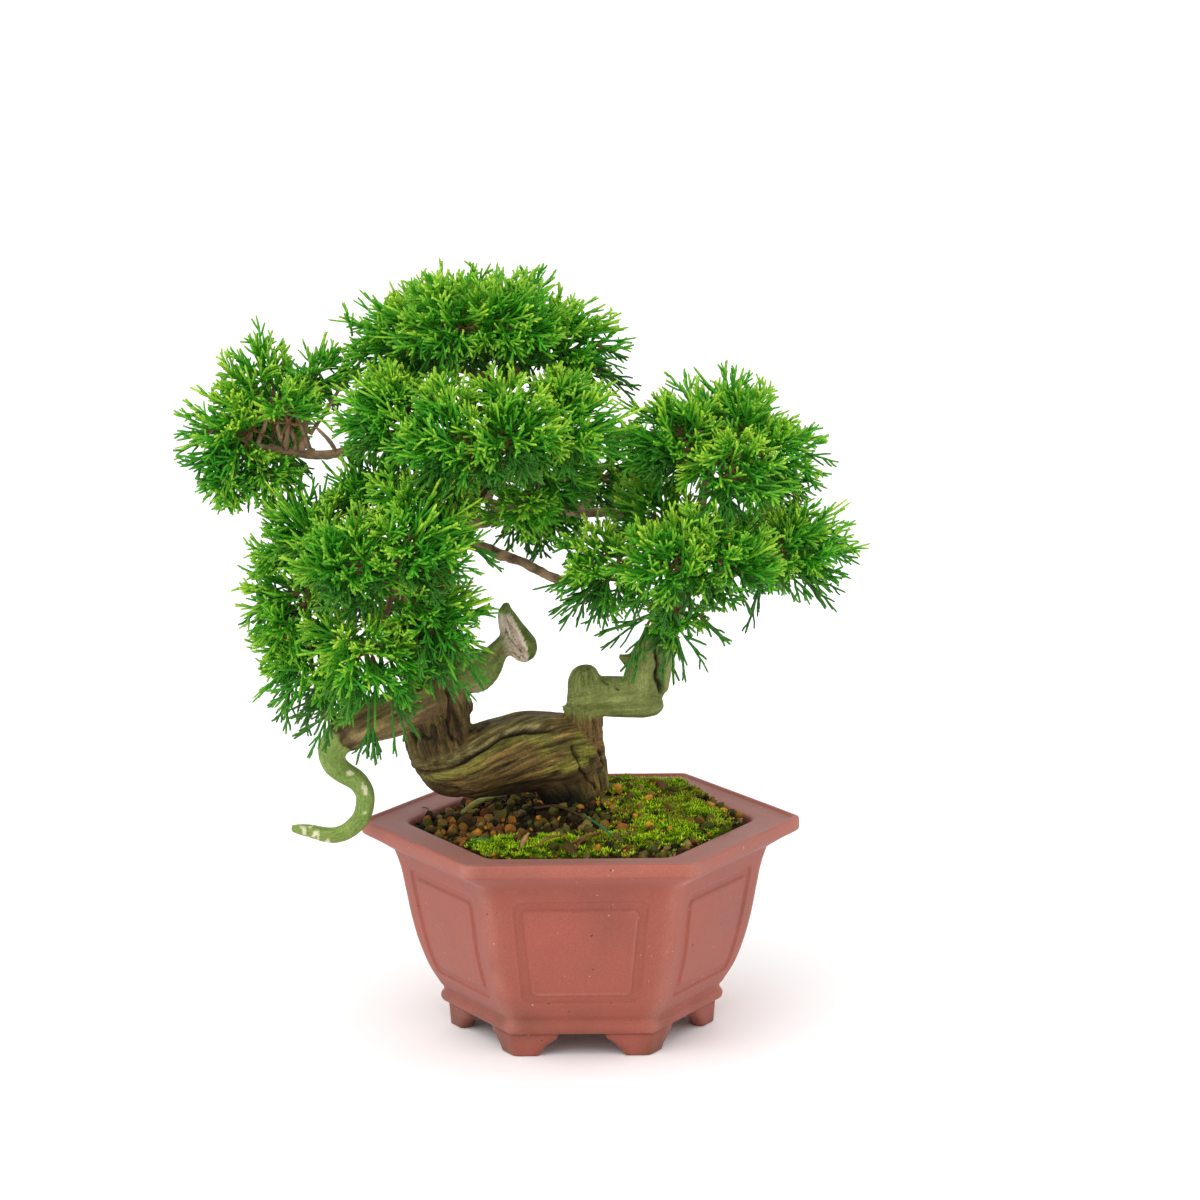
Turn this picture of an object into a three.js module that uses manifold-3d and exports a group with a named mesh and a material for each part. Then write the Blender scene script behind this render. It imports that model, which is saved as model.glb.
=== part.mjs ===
// Chinese juniper bonsai in its hexagonal clay pot. Millimetres, +Z up.
// The pot's axis is x = y = 0 and its feet stand on z = 0 while the pieces are made. The whole group is
// then shifted so that its bounding box stands centred on the origin.
import * as THREE from "three";
import { mergeVertices } from "three/addons/utils/BufferGeometryUtils.js";
import Module from "manifold-3d";

const wasm = await Module();
wasm.setup();

// Driving dimensions
const SEAT_GAP = 0.35;
const RIM_RADIUS = 95;
const RIM_TOP = 91.8;
const BASE_UNDERSIDE = 10;
const FLOOR_TOP = 17;
const DRAIN_RADIUS = 9;
const MOUTH_RADIUS = 75.6;
const MOUTH_ROUND = 10;
const SOIL_EDGE = 88.6;
const SOIL_MOUND = 9.5;
const CORD_RADIUS = 1.1;
const CORD_FLOOR = RIM_TOP + 8;
const COS30 = Math.cos(Math.PI / 6);
const TURN = 2 * Math.PI;
const UP = new THREE.Vector3(0, 0, 1);

// Colours
const CLAY = 0xa85a4a;
const SOIL_BROWN = 0x54452c;
const MOSS_GREEN = 0x6f9a1e;
const WOOD_BROWN = 0x6e6038;
const SCREEN_BLACK = 0x26282a;
const LEAF_GREENS = [0x2f8a1c, 0x3a9a22, 0x277a20, 0x46a428];

// A draw of even random numbers that is the same on every run
function seededDraw(seed) {
  let state = seed >>> 0;
  return () => {
    state = (state + 0x6d2b79f5) >>> 0;
    let t = state;
    t = Math.imul(t ^ (t >>> 15), t | 1);
    t ^= t + Math.imul(t ^ (t >>> 7), t | 61);
    return ((t ^ (t >>> 14)) >>> 0) / 4294967296;
  };
}

// Closed bodies from rings of points

function signedVolume(points, faces) {
  let sum = 0;
  for (const [a, b, c] of faces) {
    sum += points[a].dot(new THREE.Vector3().crossVectors(points[b], points[c]));
  }
  return sum / 6;
}

function bodyFrom(points, faces) {
  const outward = signedVolume(points, faces) > 0;
  const index = faces.flatMap(([a, b, c]) => (outward ? [a, b, c] : [a, c, b]));
  const flat = points.flatMap((p) => p.toArray());
  const geometry = new THREE.BufferGeometry();
  geometry.setAttribute("position", new THREE.Float32BufferAttribute(flat, 3));
  geometry.setIndex(index);
  return geometry;
}

// Sides between rings of one point count. The ends are fans to a middle point, or the last ring joins
// the first.
function stackRings(rings, { loop = false, bottom = null, top = null } = {}) {
  const count = rings[0].length;
  const points = rings.flat();
  const faces = [];
  const bands = loop ? rings.length : rings.length - 1;
  for (let band = 0; band < bands; band += 1) {
    const low = band * count;
    const high = ((band + 1) % rings.length) * count;
    for (let i = 0; i < count; i += 1) {
      const j = (i + 1) % count;
      faces.push([low + i, low + j, high + j], [low + i, high + j, high + i]);
    }
  }
  if (!loop) {
    const last = rings.length - 1;
    const ends = [[rings[0], 0, bottom, true], [rings[last], last * count, top, false]];
    for (const [ring, start, given, flip] of ends) {
      const middle = given ?? ring.reduce((sum, p) => sum.add(p), new THREE.Vector3()).divideScalar(count);
      points.push(middle);
      const hub = points.length - 1;
      for (let i = 0; i < count; i += 1) {
        const j = (i + 1) % count;
        faces.push(flip ? [hub, start + j, start + i] : [hub, start + i, start + j]);
      }
    }
  }
  return bodyFrom(points, faces);
}

// Solids to join and cut

function solidOf(geometry) {
  const bare = geometry.clone();
  bare.deleteAttribute("normal");
  bare.deleteAttribute("uv");
  const merged = mergeVertices(bare, 1e-4);
  return new wasm.Manifold(new wasm.Mesh({
    numProp: 3,
    vertProperties: Float32Array.from(merged.attributes.position.array),
    triVerts: Uint32Array.from(merged.index.array),
  }));
}

function geometryOf(solid) {
  const mesh = solid.getMesh();
  const geometry = new THREE.BufferGeometry();
  geometry.setAttribute("position", new THREE.BufferAttribute(Float32Array.from(mesh.vertProperties), 3));
  geometry.setIndex(new THREE.BufferAttribute(Uint32Array.from(mesh.triVerts), 1));
  return geometry;
}

function joined(solids) {
  return solids.reduce((whole, solid) => whole.add(solid));
}

// The biggest body of a solid, so that a loose scrap left by a cut is dropped
function mainBody(solid) {
  const bodies = solid.decompose();
  return bodies.reduce((best, body) => (body.volume() > best.volume() ? body : best));
}

function makeMesh(name, solid, color, roughness) {
  const geometry = geometryOf(solid);
  geometry.computeVertexNormals();
  const material = new THREE.MeshStandardMaterial({ color, roughness, metalness: 0, flatShading: true });
  const mesh = new THREE.Mesh(geometry, material);
  mesh.name = name;
  return mesh;
}

// Hexagons with soft corners, corners on the x axis

const CORNER_STEPS = 2;

function hexRing(radius, round, z) {
  const ring = [];
  const middle = radius - round / COS30;
  for (let corner = 0; corner < 6; corner += 1) {
    const heading = (corner * TURN) / 6;
    for (let step = 0; step <= CORNER_STEPS; step += 1) {
      const angle = heading + (step / CORNER_STEPS - 0.5) * (TURN / 6);
      ring.push(new THREE.Vector3(
        middle * Math.cos(heading) + round * Math.cos(angle),
        middle * Math.sin(heading) + round * Math.sin(angle),
        z,
      ));
    }
  }
  return ring;
}

function hexSolid(levels) {
  return solidOf(stackRings(levels.map(([radius, z, round]) => hexRing(radius, round, z))));
}

// Outside of the pot from the underside up: corner radius, height, corner rounding
const OUTSIDE = [
  [59.0, BASE_UNDERSIDE, 3], [61.4, 11.4, 3], [61.9, 13.8, 3], [60.4, 16.5, 4],
  [62.3, 18.6, 6], [67, 26, 7], [71, 35.5, 7.5], [74.8, 48.5, 8], [77.2, 61, 8], [79.5, 72, 7.5],
  [81.5, 78.5, 6], [94.2, 85.3, 3], [RIM_RADIUS, 86.4, 3], [RIM_RADIUS, RIM_TOP, 3],
];

// Rim bead, flat rim and the inside down to the drain hole
const INSIDE = [
  [92.6, RIM_TOP, 3], [91.9, RIM_TOP - 0.9, 3], [MOUTH_RADIUS + 1, RIM_TOP - 0.9, MOUTH_ROUND],
  [MOUTH_RADIUS, RIM_TOP - 2, MOUTH_ROUND], [74.6, 80, MOUTH_ROUND], [72.5, 66, MOUTH_ROUND],
  [67.5, 48, MOUTH_ROUND], [60.5, 31, MOUTH_ROUND], [55, 20.5, MOUTH_ROUND], [50, FLOOR_TOP, MOUTH_ROUND],
];

function radiusAt(profile, z) {
  for (let i = 1; i < profile.length; i += 1) {
    const [r0, z0] = profile[i - 1];
    const [r1, z1] = profile[i];
    if ((z - z0) * (z - z1) <= 0 && z0 !== z1) {
      return r0 + ((r1 - r0) * (z - z0)) / (z1 - z0);
    }
  }
  return profile[profile.length - 1][0];
}

function drainRing(z) {
  return hexRing(DRAIN_RADIUS, DRAIN_RADIUS * COS30 * 0.999, z);
}

// The moat round each face's raised field: half widths at its top and bottom, and its heights
const MOAT_DEPTH = 1.1;
const MOAT_OUTER = { top: 28.7, bottom: 25, low: 25, high: 72.6, chamfer: 2.6 };
const MOAT_INNER = { top: 24.8, bottom: 21, low: 29.2, high: 68.8, chamfer: 1.6 };
const MOAT_SIDE_STEPS = 2;

// A panel outline as [along the face, height], with cut corners and extra points down its two sides
function panelOutline({ top, bottom, low, high, chamfer }) {
  const halfWidth = (z) => bottom + ((top - bottom) * (z - low)) / (high - low);
  const right = [];
  for (let step = 0; step <= MOAT_SIDE_STEPS; step += 1) {
    const z = low + chamfer + ((high - low - 2 * chamfer) * step) / MOAT_SIDE_STEPS;
    right.push([halfWidth(z), z]);
  }
  const half = [[bottom - chamfer, low], ...right, [top - chamfer, high]];
  return [...half, ...half.map(([s, z]) => [-s, z]).reverse()];
}

function onFace(face, along, z, lift) {
  const heading = ((face + 0.5) * TURN) / 6;
  const out = radiusAt(OUTSIDE, z) * COS30 + lift;
  return new THREE.Vector3(
    out * Math.cos(heading) - along * Math.sin(heading),
    out * Math.sin(heading) + along * Math.cos(heading),
    z,
  );
}

function panelMoat(face) {
  const outer = panelOutline(MOAT_OUTER);
  const inner = panelOutline(MOAT_INNER);
  const ringAt = (outline, lift) => outline.map(([s, z]) => onFace(face, s, z, lift));
  const proud = 2;
  return solidOf(stackRings([
    ringAt(outer, proud), ringAt(outer, -MOAT_DEPTH), ringAt(inner, -MOAT_DEPTH), ringAt(inner, proud),
  ], { loop: true }));
}

// Bracket foot: an angle that wraps the corner, its wings growing shorter downwards
const FOOT_LEVELS = [[BASE_UNDERSIDE + 0.6, 23.5], [8.4, 22.4], [6, 15.2], [2.4, 12], [0, 10.4]];
const FOOT_CORNER = 58.6;
const FOOT_THICK = 6;
const FOOT_LEAN = 0.08;
const FOOT_HEART = 4.6;

function footSolid(corner) {
  const heading = (corner * TURN) / 6;
  const rings = FOOT_LEVELS.map(([z, wing]) => {
    const tip = FOOT_CORNER - (BASE_UNDERSIDE - Math.min(z, BASE_UNDERSIDE)) * FOOT_LEAN;
    const edge = (side, along, inward) => {
      const direction = heading + side * (TURN / 3);
      const normal = heading + side * (TURN / 12);
      return new THREE.Vector3(
        tip * Math.cos(heading) + along * Math.cos(direction) - inward * Math.cos(normal),
        tip * Math.sin(heading) + along * Math.sin(direction) - inward * Math.sin(normal),
        z,
      );
    };
    const inner = tip - FOOT_THICK / COS30;
    return [
      edge(1, wing, 0), edge(1, 2, 0), edge(-1, 2, 0), edge(-1, wing, 0), edge(-1, wing, FOOT_THICK),
      new THREE.Vector3(inner * Math.cos(heading), inner * Math.sin(heading), z), edge(1, wing, FOOT_THICK),
    ];
  });
  const heart = (z) => new THREE.Vector3(
    (FOOT_CORNER - FOOT_HEART) * Math.cos(heading), (FOOT_CORNER - FOOT_HEART) * Math.sin(heading), z,
  );
  return solidOf(stackRings(rings, { bottom: heart(FOOT_LEVELS[0][0]), top: heart(0) }));
}

function makePot() {
  const walls = [...OUTSIDE, ...INSIDE].map(([radius, z, round]) => hexRing(radius, round, z));
  const drain = [drainRing(FLOOR_TOP), drainRing(BASE_UNDERSIDE)];
  const shell = solidOf(stackRings([...walls, ...drain], { loop: true }));
  const corners = [0, 1, 2, 3, 4, 5];
  const moats = joined(corners.map(panelMoat));
  return joined([shell.subtract(moats), ...corners.map(footSolid)]);
}

// Slotted plastic cover over the drain hole
const SCREEN_SIDE = 30;
const SCREEN_THICK = 1;
const SCREEN_SLOTS = 7;
const SLOT_LENGTH = 24;
const SLOT_WIDTH = 1.9;

function boxSolid(width, depth, height, x, y, z) {
  const box = new THREE.BoxGeometry(width, depth, height);
  box.translate(x, y, z);
  return solidOf(box);
}

function makeScreen() {
  const level = FLOOR_TOP + SEAT_GAP + SCREEN_THICK / 2;
  const pitch = SLOT_LENGTH / SCREEN_SLOTS;
  const slots = [];
  for (let slot = 0; slot < SCREEN_SLOTS; slot += 1) {
    const x = (slot - (SCREEN_SLOTS - 1) / 2) * pitch;
    slots.push(boxSolid(SLOT_WIDTH, SLOT_LENGTH, 3 * SCREEN_THICK, x, 0, level));
  }
  return boxSolid(SCREEN_SIDE, SCREEN_SIDE, SCREEN_THICK, 0, 0, level).subtract(joined(slots));
}

function makeScreenPocket() {
  const side = SCREEN_SIDE + 2 * SEAT_GAP;
  const height = 4;
  return boxSolid(side, side, height, 0, 0, FLOOR_TOP + 2 * SEAT_GAP + SCREEN_THICK - height / 2);
}

// Wood. Each limb is a list of [x, y, z, radius] stations that it runs smoothly through.

function limbStations(stations, extra) {
  const middle = stations.map(([x, y, z]) => new THREE.Vector3(x, y, z));
  const last = middle.length - 1;
  const radii = stations.map((station) => station[3] + extra);
  if (extra > 0) {
    const back = new THREE.Vector3().subVectors(middle[0], middle[1]).setLength(extra);
    const on = new THREE.Vector3().subVectors(middle[last], middle[last - 1]).setLength(extra);
    middle[0].add(back);
    middle[last].add(on);
  }
  return { middle, radii };
}

// Round section with a few lobes, carried along the path without twisting
function limbRings(stations, { sides = 6, perSpan = 1, lobes = 0, extra = 0 }) {
  const { middle, radii } = limbStations(stations, extra);
  const curve = new THREE.CatmullRomCurve3(middle, false, "centripetal");
  const count = (middle.length - 1) * perSpan;
  const rings = [];
  let across = null;
  for (let k = 0; k <= count; k += 1) {
    const at = k / perSpan;
    const from = Math.min(Math.floor(at), middle.length - 2);
    const radius = radii[from] + (radii[from + 1] - radii[from]) * (at - from);
    const t = k / count;
    const heading = curve.getTangent(t).normalize();
    if (across === null) {
      const aside = Math.abs(heading.z) < 0.8 ? UP : new THREE.Vector3(1, 0, 0);
      across = new THREE.Vector3().crossVectors(heading, aside).normalize();
    }
    across.addScaledVector(heading, -across.dot(heading)).normalize();
    const side = new THREE.Vector3().crossVectors(heading, across);
    const centre = curve.getPoint(t);
    const ring = [];
    for (let i = 0; i < sides; i += 1) {
      const angle = (i * TURN) / sides;
      const lobe = 0.6 * Math.cos(3 * angle + 0.9 * at) + 0.4 * Math.cos(5 * angle - 0.7 * at);
      const swell = 1 + lobes * lobe;
      ring.push(centre.clone()
        .addScaledVector(across, Math.cos(angle) * radius * swell)
        .addScaledVector(side, Math.sin(angle) * radius * swell));
    }
    rings.push(ring);
  }
  return rings;
}

function limbSolid(limb, extra = 0) {
  return solidOf(stackRings(limbRings(limb.stations, { ...limb, extra })));
}

const LIMBS = [
  { name: "butt", sides: 10, lobes: 0.07, stations: [
    [4, 20, 70, 10], [3, 19, 84, 10.4], [2, 18, 97, 11.2], [1, 14, 110, 11], [0.5, 10, 122, 9.8],
    [1.5, 7, 134, 8.2], [2.2, 5.4, 145, 7.6], [2.3, 4.6, 152, 7.3], [2.4, 4.2, 156, 5.4],
    [2.4, 4.2, 158, 2.8]] },
  { name: "bole", sides: 10, perSpan: 2, lobes: 0.1, stations: [
    [4, 13, 118, 11.5], [-8, 9, 120, 16.5], [-22, 5, 120.5, 17], [-34, 2, 118.7, 16.2],
    [-47, 0, 116.3, 15.4], [-58, -2, 115.8, 13.2], [-64, -2.6, 116.5, 10], [-68, -3, 117.5, 5]] },
  { name: "riser", tuft: "b7", sides: 9, lobes: 0.12, stations: [
    [-55, -1, 109, 8], [-58.5, -1, 118, 12.8], [-60.2, 0, 131, 14], [-60.5, 2, 146, 14.4],
    [-62.5, 6, 161, 11.8], [-64.5, 11, 178, 9.8], [-64, 14, 195, 8.4], [-58, 16, 212, 7.4],
    [-48, 14, 228, 6.6], [-39, 12, 243, 5.8], [-35, 10, 260, 4.8], [-37, 8, 275, 4], [-39, 6, 291, 2.8]] },
  { name: "dead_arm", sides: 7, lobes: 0.1, stations: [
    [-58, -2, 147, 9], [-68, -6, 144, 9.2], [-78.7, -10, 141, 9.2], [-87.5, -15, 139, 8.8],
    [-95.5, -18, 136.2, 8.6], [-101, -19.5, 132.8, 7.4], [-104.6, -20, 128.6, 6.2],
    [-105.4, -20, 124.8, 5.7], [-104.3, -20, 120.8, 5.3], [-101, -20, 117.4, 4.8], [-95, -20, 113.4, 4.4],
    [-91.9, -20, 109, 4.2], [-91.4, -20, 104.8, 4.1], [-93.6, -20, 97.4, 3.9], [-99.2, -20, 92, 3.6],
    [-105, -20, 89.9, 3.5], [-110, -20, 90.3, 3.3], [-114.5, -20, 91.4, 3], [-119.5, -20, 92.4, 1.9],
    [-123.6, -20, 93, 0.6]] },
  { name: "dead_neck", sides: 7, lobes: 0.08, stations: [
    [-58, 3, 152, 8.5], [-50.2, 1.5, 155, 8.6], [-43.8, 0, 156.5, 8.6], [-38.6, -1, 160.5, 7.2],
    [-34.5, -1, 165.5, 5.4], [-30, -1, 170, 4.6]] },
  { name: "dead_head", sides: 8, lobes: 0.06, stations: [
    [-30.5, -1, 187, 1], [-31, -1, 182.5, 3.6], [-29.5, -1, 177.7, 5], [-26.8, -1, 172, 6.2],
    [-24.1, -1, 167.2, 6.6], [-22.2, -1, 163.7, 5], [-21, -1, 161.6, 2.5]] },
  { name: "cut_stump", sides: 8, lobes: 0.06, stations: [
    [1, 5.4, 143.5, 8], [10, 4, 144.6, 8.6], [20, 2, 144.8, 8.8], [28, 0.5, 144.6, 8.8],
    [32.5, 0, 144.6, 7.8], [35.5, 0, 145, 5]] },
  { name: "cut_spur", sides: 6, stations: [
    [28, 0, 158, 5.5], [22, -0.5, 160.5, 3.4], [16.8, -1, 163.2, 0.8]] },
  { name: "right_riser", tuft: "e4", sides: 7, lobes: 0.08, stations: [
    [28.5, 0, 147, 8.3], [29.5, 0, 157.5, 8.6], [32.5, 0, 165, 7.8], [36.5, -1, 173, 6.5],
    [39.5, -2, 181, 5.6], [41.5, -3.5, 187, 4.8], [46, -6, 193, 3.8], [55, -8, 196.5, 3.2],
    [66, -10, 201, 2.7], [78, -8, 204.6, 2.1]] },
  { name: "right_leader", tuft: "d2", sides: 5, stations: [
    [38.5, -2, 181, 4.6], [44, 5, 198, 3.6], [50, 8, 216, 3], [54, 6, 233, 2.4], [59, 2, 249, 1.8]] },
  { name: "left_branch", tuft: "a1", sides: 5, stations: [
    [-43, 13, 247, 3.9], [-58, 10, 255, 3.5], [-75, 6, 256, 3.1], [-90, 2, 254, 2.8], [-106, 0, 251, 2.5],
    [-124, -2, 253, 2.1], [-138, -4, 257, 1.6]] },
  { name: "top_left_branch", tuft: "b1", sides: 5, stations: [
    [-38, 7, 281, 3.2], [-47, 1, 287, 2.7], [-62, -4, 291, 2.2]] },
  { name: "top_right_branch", tuft: "b4", sides: 5, stations: [
    [-37, 8, 274, 3.6], [-31, 5, 281, 2.9], [-23, 2, 288, 2.5], [-13, -0.5, 294, 2.1]] },
  { name: "back_branch", tuft: "e5", sides: 5, stations: [
    [-52, 15, 220, 4.6], [-41, 17, 219, 3.6], [-30, 19, 224, 3.2], [-21, 20, 226, 3], [-9, 20, 224, 2.7],
    [3, 18, 222, 2.5], [16, 11, 223, 2.1]] },
  { name: "middle_branch", tuft: "e1", sides: 5, stations: [
    [-62, 14, 215, 4.8], [-51, 10, 212, 3.4], [-39, 5, 209, 2.8], [-32, 0, 207, 2.6], [-24, -5, 205, 2.5],
    [-17, -9, 202, 2.4], [-6, -17, 199, 2]] },
  { name: "front_branch", tuft: "c2", sides: 5, stations: [
    [-46, 13, 232, 4], [-46, 0, 239, 3.4], [-46, -16, 247, 2.9], [-46, -32, 254, 2.4],
    [-50, -43, 260, 2]] },
  { name: "front_right_branch", tuft: "c4", sides: 5, stations: [
    [-46, -14, 246, 2.8], [-37, -28, 254, 2.2], [-22, -33, 260, 1.9], [-10, -35, 264, 1.8]] },
  { name: "low_left_branch", tuft: "f1", sides: 5, stations: [
    [-65, 12, 186, 4.8], [-76, 3, 197, 3.8], [-88, -7, 207, 3], [-104, -12, 218, 2.1]] },
  { name: "low_front_branch", tuft: "f3", sides: 5, stations: [
    [-65, 9, 176, 4.8], [-68, -8, 183, 3.9], [-74, -24, 192, 3.3], [-83, -38, 204, 2.4],
    [-89, -45, 210, 2]] },
  { name: "low_branch", tuft: "f5", sides: 5, stations: [
    [-65, 6, 164, 5], [-76, -8, 168, 4], [-88, -14, 170, 3.2], [-104, -16, 166, 2.3]] },
];

// Foliage tufts: name, centre and half extents of the space that the cord tips fill
const TUFTS = [
  ["a1", -147, -8, 258, 24, 22, 26], ["a2", -134, 6, 277, 24, 22, 26], ["a3", -116, -18, 265, 22, 22, 24],
  ["a4", -134, 34, 255, 24, 22, 24], ["a5", -107, 4, 286, 16, 16, 16],
  ["b1", -77, -4, 299, 26, 24, 24], ["b2", -54, -26, 308, 26, 24, 24], ["b3", -24, -24, 308, 26, 24, 24],
  ["b4", 0, -2, 297, 24, 24, 24], ["b5", -63, 34, 302, 26, 24, 24], ["b6", -29, 38, 304, 26, 24, 24],
  ["b7", -40, 6, 310, 24, 22, 22],
  ["c1", -82, -34, 271, 24, 24, 24], ["c2", -56, -56, 265, 26, 24, 26], ["c3", -25, -57, 267, 26, 24, 26],
  ["c4", 2, -36, 268, 26, 24, 24], ["c5", -7, -10, 243, 22, 22, 20],
  ["d1", 38, -22, 261, 24, 24, 26], ["d2", 65, 0, 264, 26, 24, 26], ["d3", 85, -4, 247, 24, 22, 24],
  ["d4", 62, 42, 253, 26, 24, 24], ["d5", 66, -38, 245, 26, 22, 22],
  ["e1", 6, -30, 205, 24, 24, 24], ["e2", 35, -52, 210, 24, 24, 26], ["e3", 64, -44, 212, 24, 22, 24],
  ["e4", 97, -8, 211, 26, 24, 22], ["e5", 31, -4, 226, 22, 22, 20], ["e6", 84, 36, 206, 26, 24, 22],
  ["e7", 47, -24, 179, 16, 16, 18],
  ["f1", -114, -16, 225, 24, 24, 24], ["f2", -125, -8, 192, 22, 22, 26], ["f3", -95, -53, 216, 26, 24, 26],
  ["f4", -62, -60, 223, 26, 24, 26], ["f5", -115, -16, 159, 22, 22, 26], ["f6", -86, -52, 165, 26, 24, 28],
  ["f7", -57, -50, 186, 24, 24, 26], ["f8", -96, 30, 189, 26, 24, 26], ["f9", -88, -20, 242, 22, 20, 18],
  ["g1", -17, 46, 219, 26, 24, 24], ["g2", -57, 56, 236, 26, 24, 26], ["g3", 21, 48, 236, 24, 24, 24],
];

const CORE_SHARE = 0.25;
const TWIG_TIP = 1.1;
const TWIG_ROOT = 1.9;
const TWIG_SEAT = 3;
const TWIG_SAG = 0.08;
const THICKEST_CARRIER = 8.5;
const SAMPLES_PER_SPAN = 5;

// Centreline points of a limb with their radii, close enough to measure clearances from
function limbSamples(limb) {
  const { middle, radii } = limbStations(limb.stations, 0);
  const curve = new THREE.CatmullRomCurve3(middle, false, "centripetal");
  const steps = (middle.length - 1) * SAMPLES_PER_SPAN;
  const samples = [];
  for (let k = 0; k <= steps; k += 1) {
    const at = k / SAMPLES_PER_SPAN;
    const from = Math.min(Math.floor(at), middle.length - 2);
    const radius = radii[from] + (radii[from + 1] - radii[from]) * (at - from);
    samples.push({ point: curve.getPoint(k / steps), radius });
  }
  return samples;
}

// Where wood ends inside a tuft's core, coming from a point outside it
function seatIn([, x, y, z, rx], from) {
  const heart = new THREE.Vector3(x, y, z);
  const towards = new THREE.Vector3().subVectors(from, heart).setLength(CORE_SHARE * rx - TWIG_SEAT);
  return heart.clone().add(towards);
}

// A branch that carries a tuft runs on into its core
for (const limb of LIMBS.filter((one) => one.tuft)) {
  const [x, y, z] = limb.stations[limb.stations.length - 1];
  const end = seatIn(TUFTS.find(([name]) => name === limb.tuft), new THREE.Vector3(x, y, z));
  limb.stations.push([end.x, end.y, end.z, TWIG_TIP]);
}

// A twig to each tuft that no branch already reaches, from the nearest wood that is thin enough to carry it
function makeTwigs(limbs) {
  const samples = limbs.filter((limb) => !limb.name.startsWith("dead") && !limb.name.startsWith("cut"))
    .flatMap(limbSamples).filter((sample) => sample.radius < THICKEST_CARRIER);
  const twigs = [];
  const carried = new Set(limbs.map((limb) => limb.tuft));
  for (const tuft of TUFTS.filter(([name]) => !carried.has(name))) {
    const [name, x, y, z] = tuft;
    const heart = new THREE.Vector3(x, y, z);
    const nearest = samples.reduce((best, sample) => (
      sample.point.distanceTo(heart) < best.point.distanceTo(heart) ? sample : best));
    const reach = nearest.point.distanceTo(heart);
    const end = seatIn(tuft, nearest.point);
    const middle = new THREE.Vector3().lerpVectors(nearest.point, end, 0.5);
    middle.z -= TWIG_SAG * reach;
    const root = Math.min(TWIG_ROOT, nearest.radius * 0.85);
    const station = (p, radius) => [p.x, p.y, p.z, radius];
    twigs.push({
      name: "twig_" + name,
      sides: 4,
      stations: [
        station(nearest.point, root), station(middle, (root + TWIG_TIP) / 2), station(end, TWIG_TIP),
      ],
    });
  }
  return twigs;
}

// Height of the growing mix: level with the rim at the edge, mounded round the trunk
const MOUND_CENTRE = { x: 16, y: 16 };
const MOUND_SPREAD = 34;

function soilHeight(x, y) {
  const dx = (x - MOUND_CENTRE.x) / MOUND_SPREAD;
  const dy = (y - MOUND_CENTRE.y) / MOUND_SPREAD;
  const ripple = 0.5 * Math.sin(x * 0.21 + 1.3) * Math.cos(y * 0.19) + 0.35 * Math.sin(x * 0.43 - y * 0.37);
  return SOIL_EDGE + SOIL_MOUND * Math.exp(-(dx * dx + dy * dy) / 1.4) + ripple;
}

const SOIL_RING_SHARES = [0.97, 0.86, 0.72, 0.57, 0.42, 0.27, 0.13];
const GRAIN_COUNT = 26;
const GRAIN_FIELD = { x: -66, y: -40, width: 100, depth: 84, reach: 58, mossLine: 8 };

function soilEdge(z, inset = SEAT_GAP / COS30 + 0.05) {
  return radiusAt(INSIDE, z) - inset;
}

// One grain: an eight-sided lump, turned and stretched by its own draw
function grainSolid(draw, x, y) {
  const size = 1.7 + 1.3 * draw();
  const grain = new THREE.OctahedronGeometry(size, 0);
  grain.scale(1, 0.8 + 0.3 * draw(), 0.75);
  grain.rotateX(draw() * TURN);
  grain.rotateZ(draw() * TURN);
  grain.translate(x, y, soilHeight(x, y) + 0.15 * size);
  return solidOf(grain);
}

// Moss patches: centre, half sizes and how far the outline wanders
const MOSS_PATCHES = [
  { name: "moss_front", x: -8, y: -45, rx: 37, ry: 13.5, tilt: 0.06, wander: 0.7 },
  { name: "moss_right", x: 45, y: -14, rx: 20, ry: 25, tilt: -0.35, wander: 2.1 },
  { name: "moss_back", x: 33, y: 38, rx: 25, ry: 17, tilt: -0.3, wander: 4.2 },
];
const MOSS_SIDES = 14;
const MOSS_RISE = 3.4;
const MOSS_SINK = 1.6;
const MOSS_EDGE = 0.8;
const MOSS_HEADROOM = 8;
const MOSS_TUSSOCK = 0.9;
const CUSHION_GAP = 0.6;

function mossRing(patch, share, lift, spread) {
  const ring = [];
  for (let i = 0; i < MOSS_SIDES; i += 1) {
    const angle = (i * TURN) / MOSS_SIDES;
    const wobble = 1 + 0.1 * Math.sin(3 * angle + patch.wander)
      + 0.06 * Math.sin(5 * angle + 2 * patch.wander);
    const u = (patch.rx * wobble * share + spread) * Math.cos(angle);
    const v = (patch.ry * wobble * share + spread) * Math.sin(angle);
    const x = patch.x + u * Math.cos(patch.tilt) - v * Math.sin(patch.tilt);
    const y = patch.y + u * Math.sin(patch.tilt) + v * Math.cos(patch.tilt);
    const tussock = share > 0.95 ? 0 : MOSS_TUSSOCK * Math.sin(i * 2.3 + share * 9 + patch.wander);
    ring.push(new THREE.Vector3(x, y, soilHeight(x, y) + lift + (lift > 0 ? tussock : 0)));
  }
  return ring;
}

// A cushion, or with extra the room to cut for it, which is open above
function mossSolid(patch, extra) {
  const headroom = extra > 0 ? MOSS_HEADROOM : 0;
  const top = MOSS_RISE + headroom;
  const rings = [
    mossRing(patch, 1, -MOSS_SINK - extra, extra), mossRing(patch, 1, MOSS_EDGE + headroom, extra),
    mossRing(patch, 0.84, top * 0.8, extra), mossRing(patch, 0.56, top, extra),
    mossRing(patch, 0.26, top, extra),
  ];
  const heart = (lift) => new THREE.Vector3(patch.x, patch.y, soilHeight(patch.x, patch.y) + lift);
  return solidOf(stackRings(rings, { bottom: heart(-MOSS_SINK - extra), top: heart(top) }));
}

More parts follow.
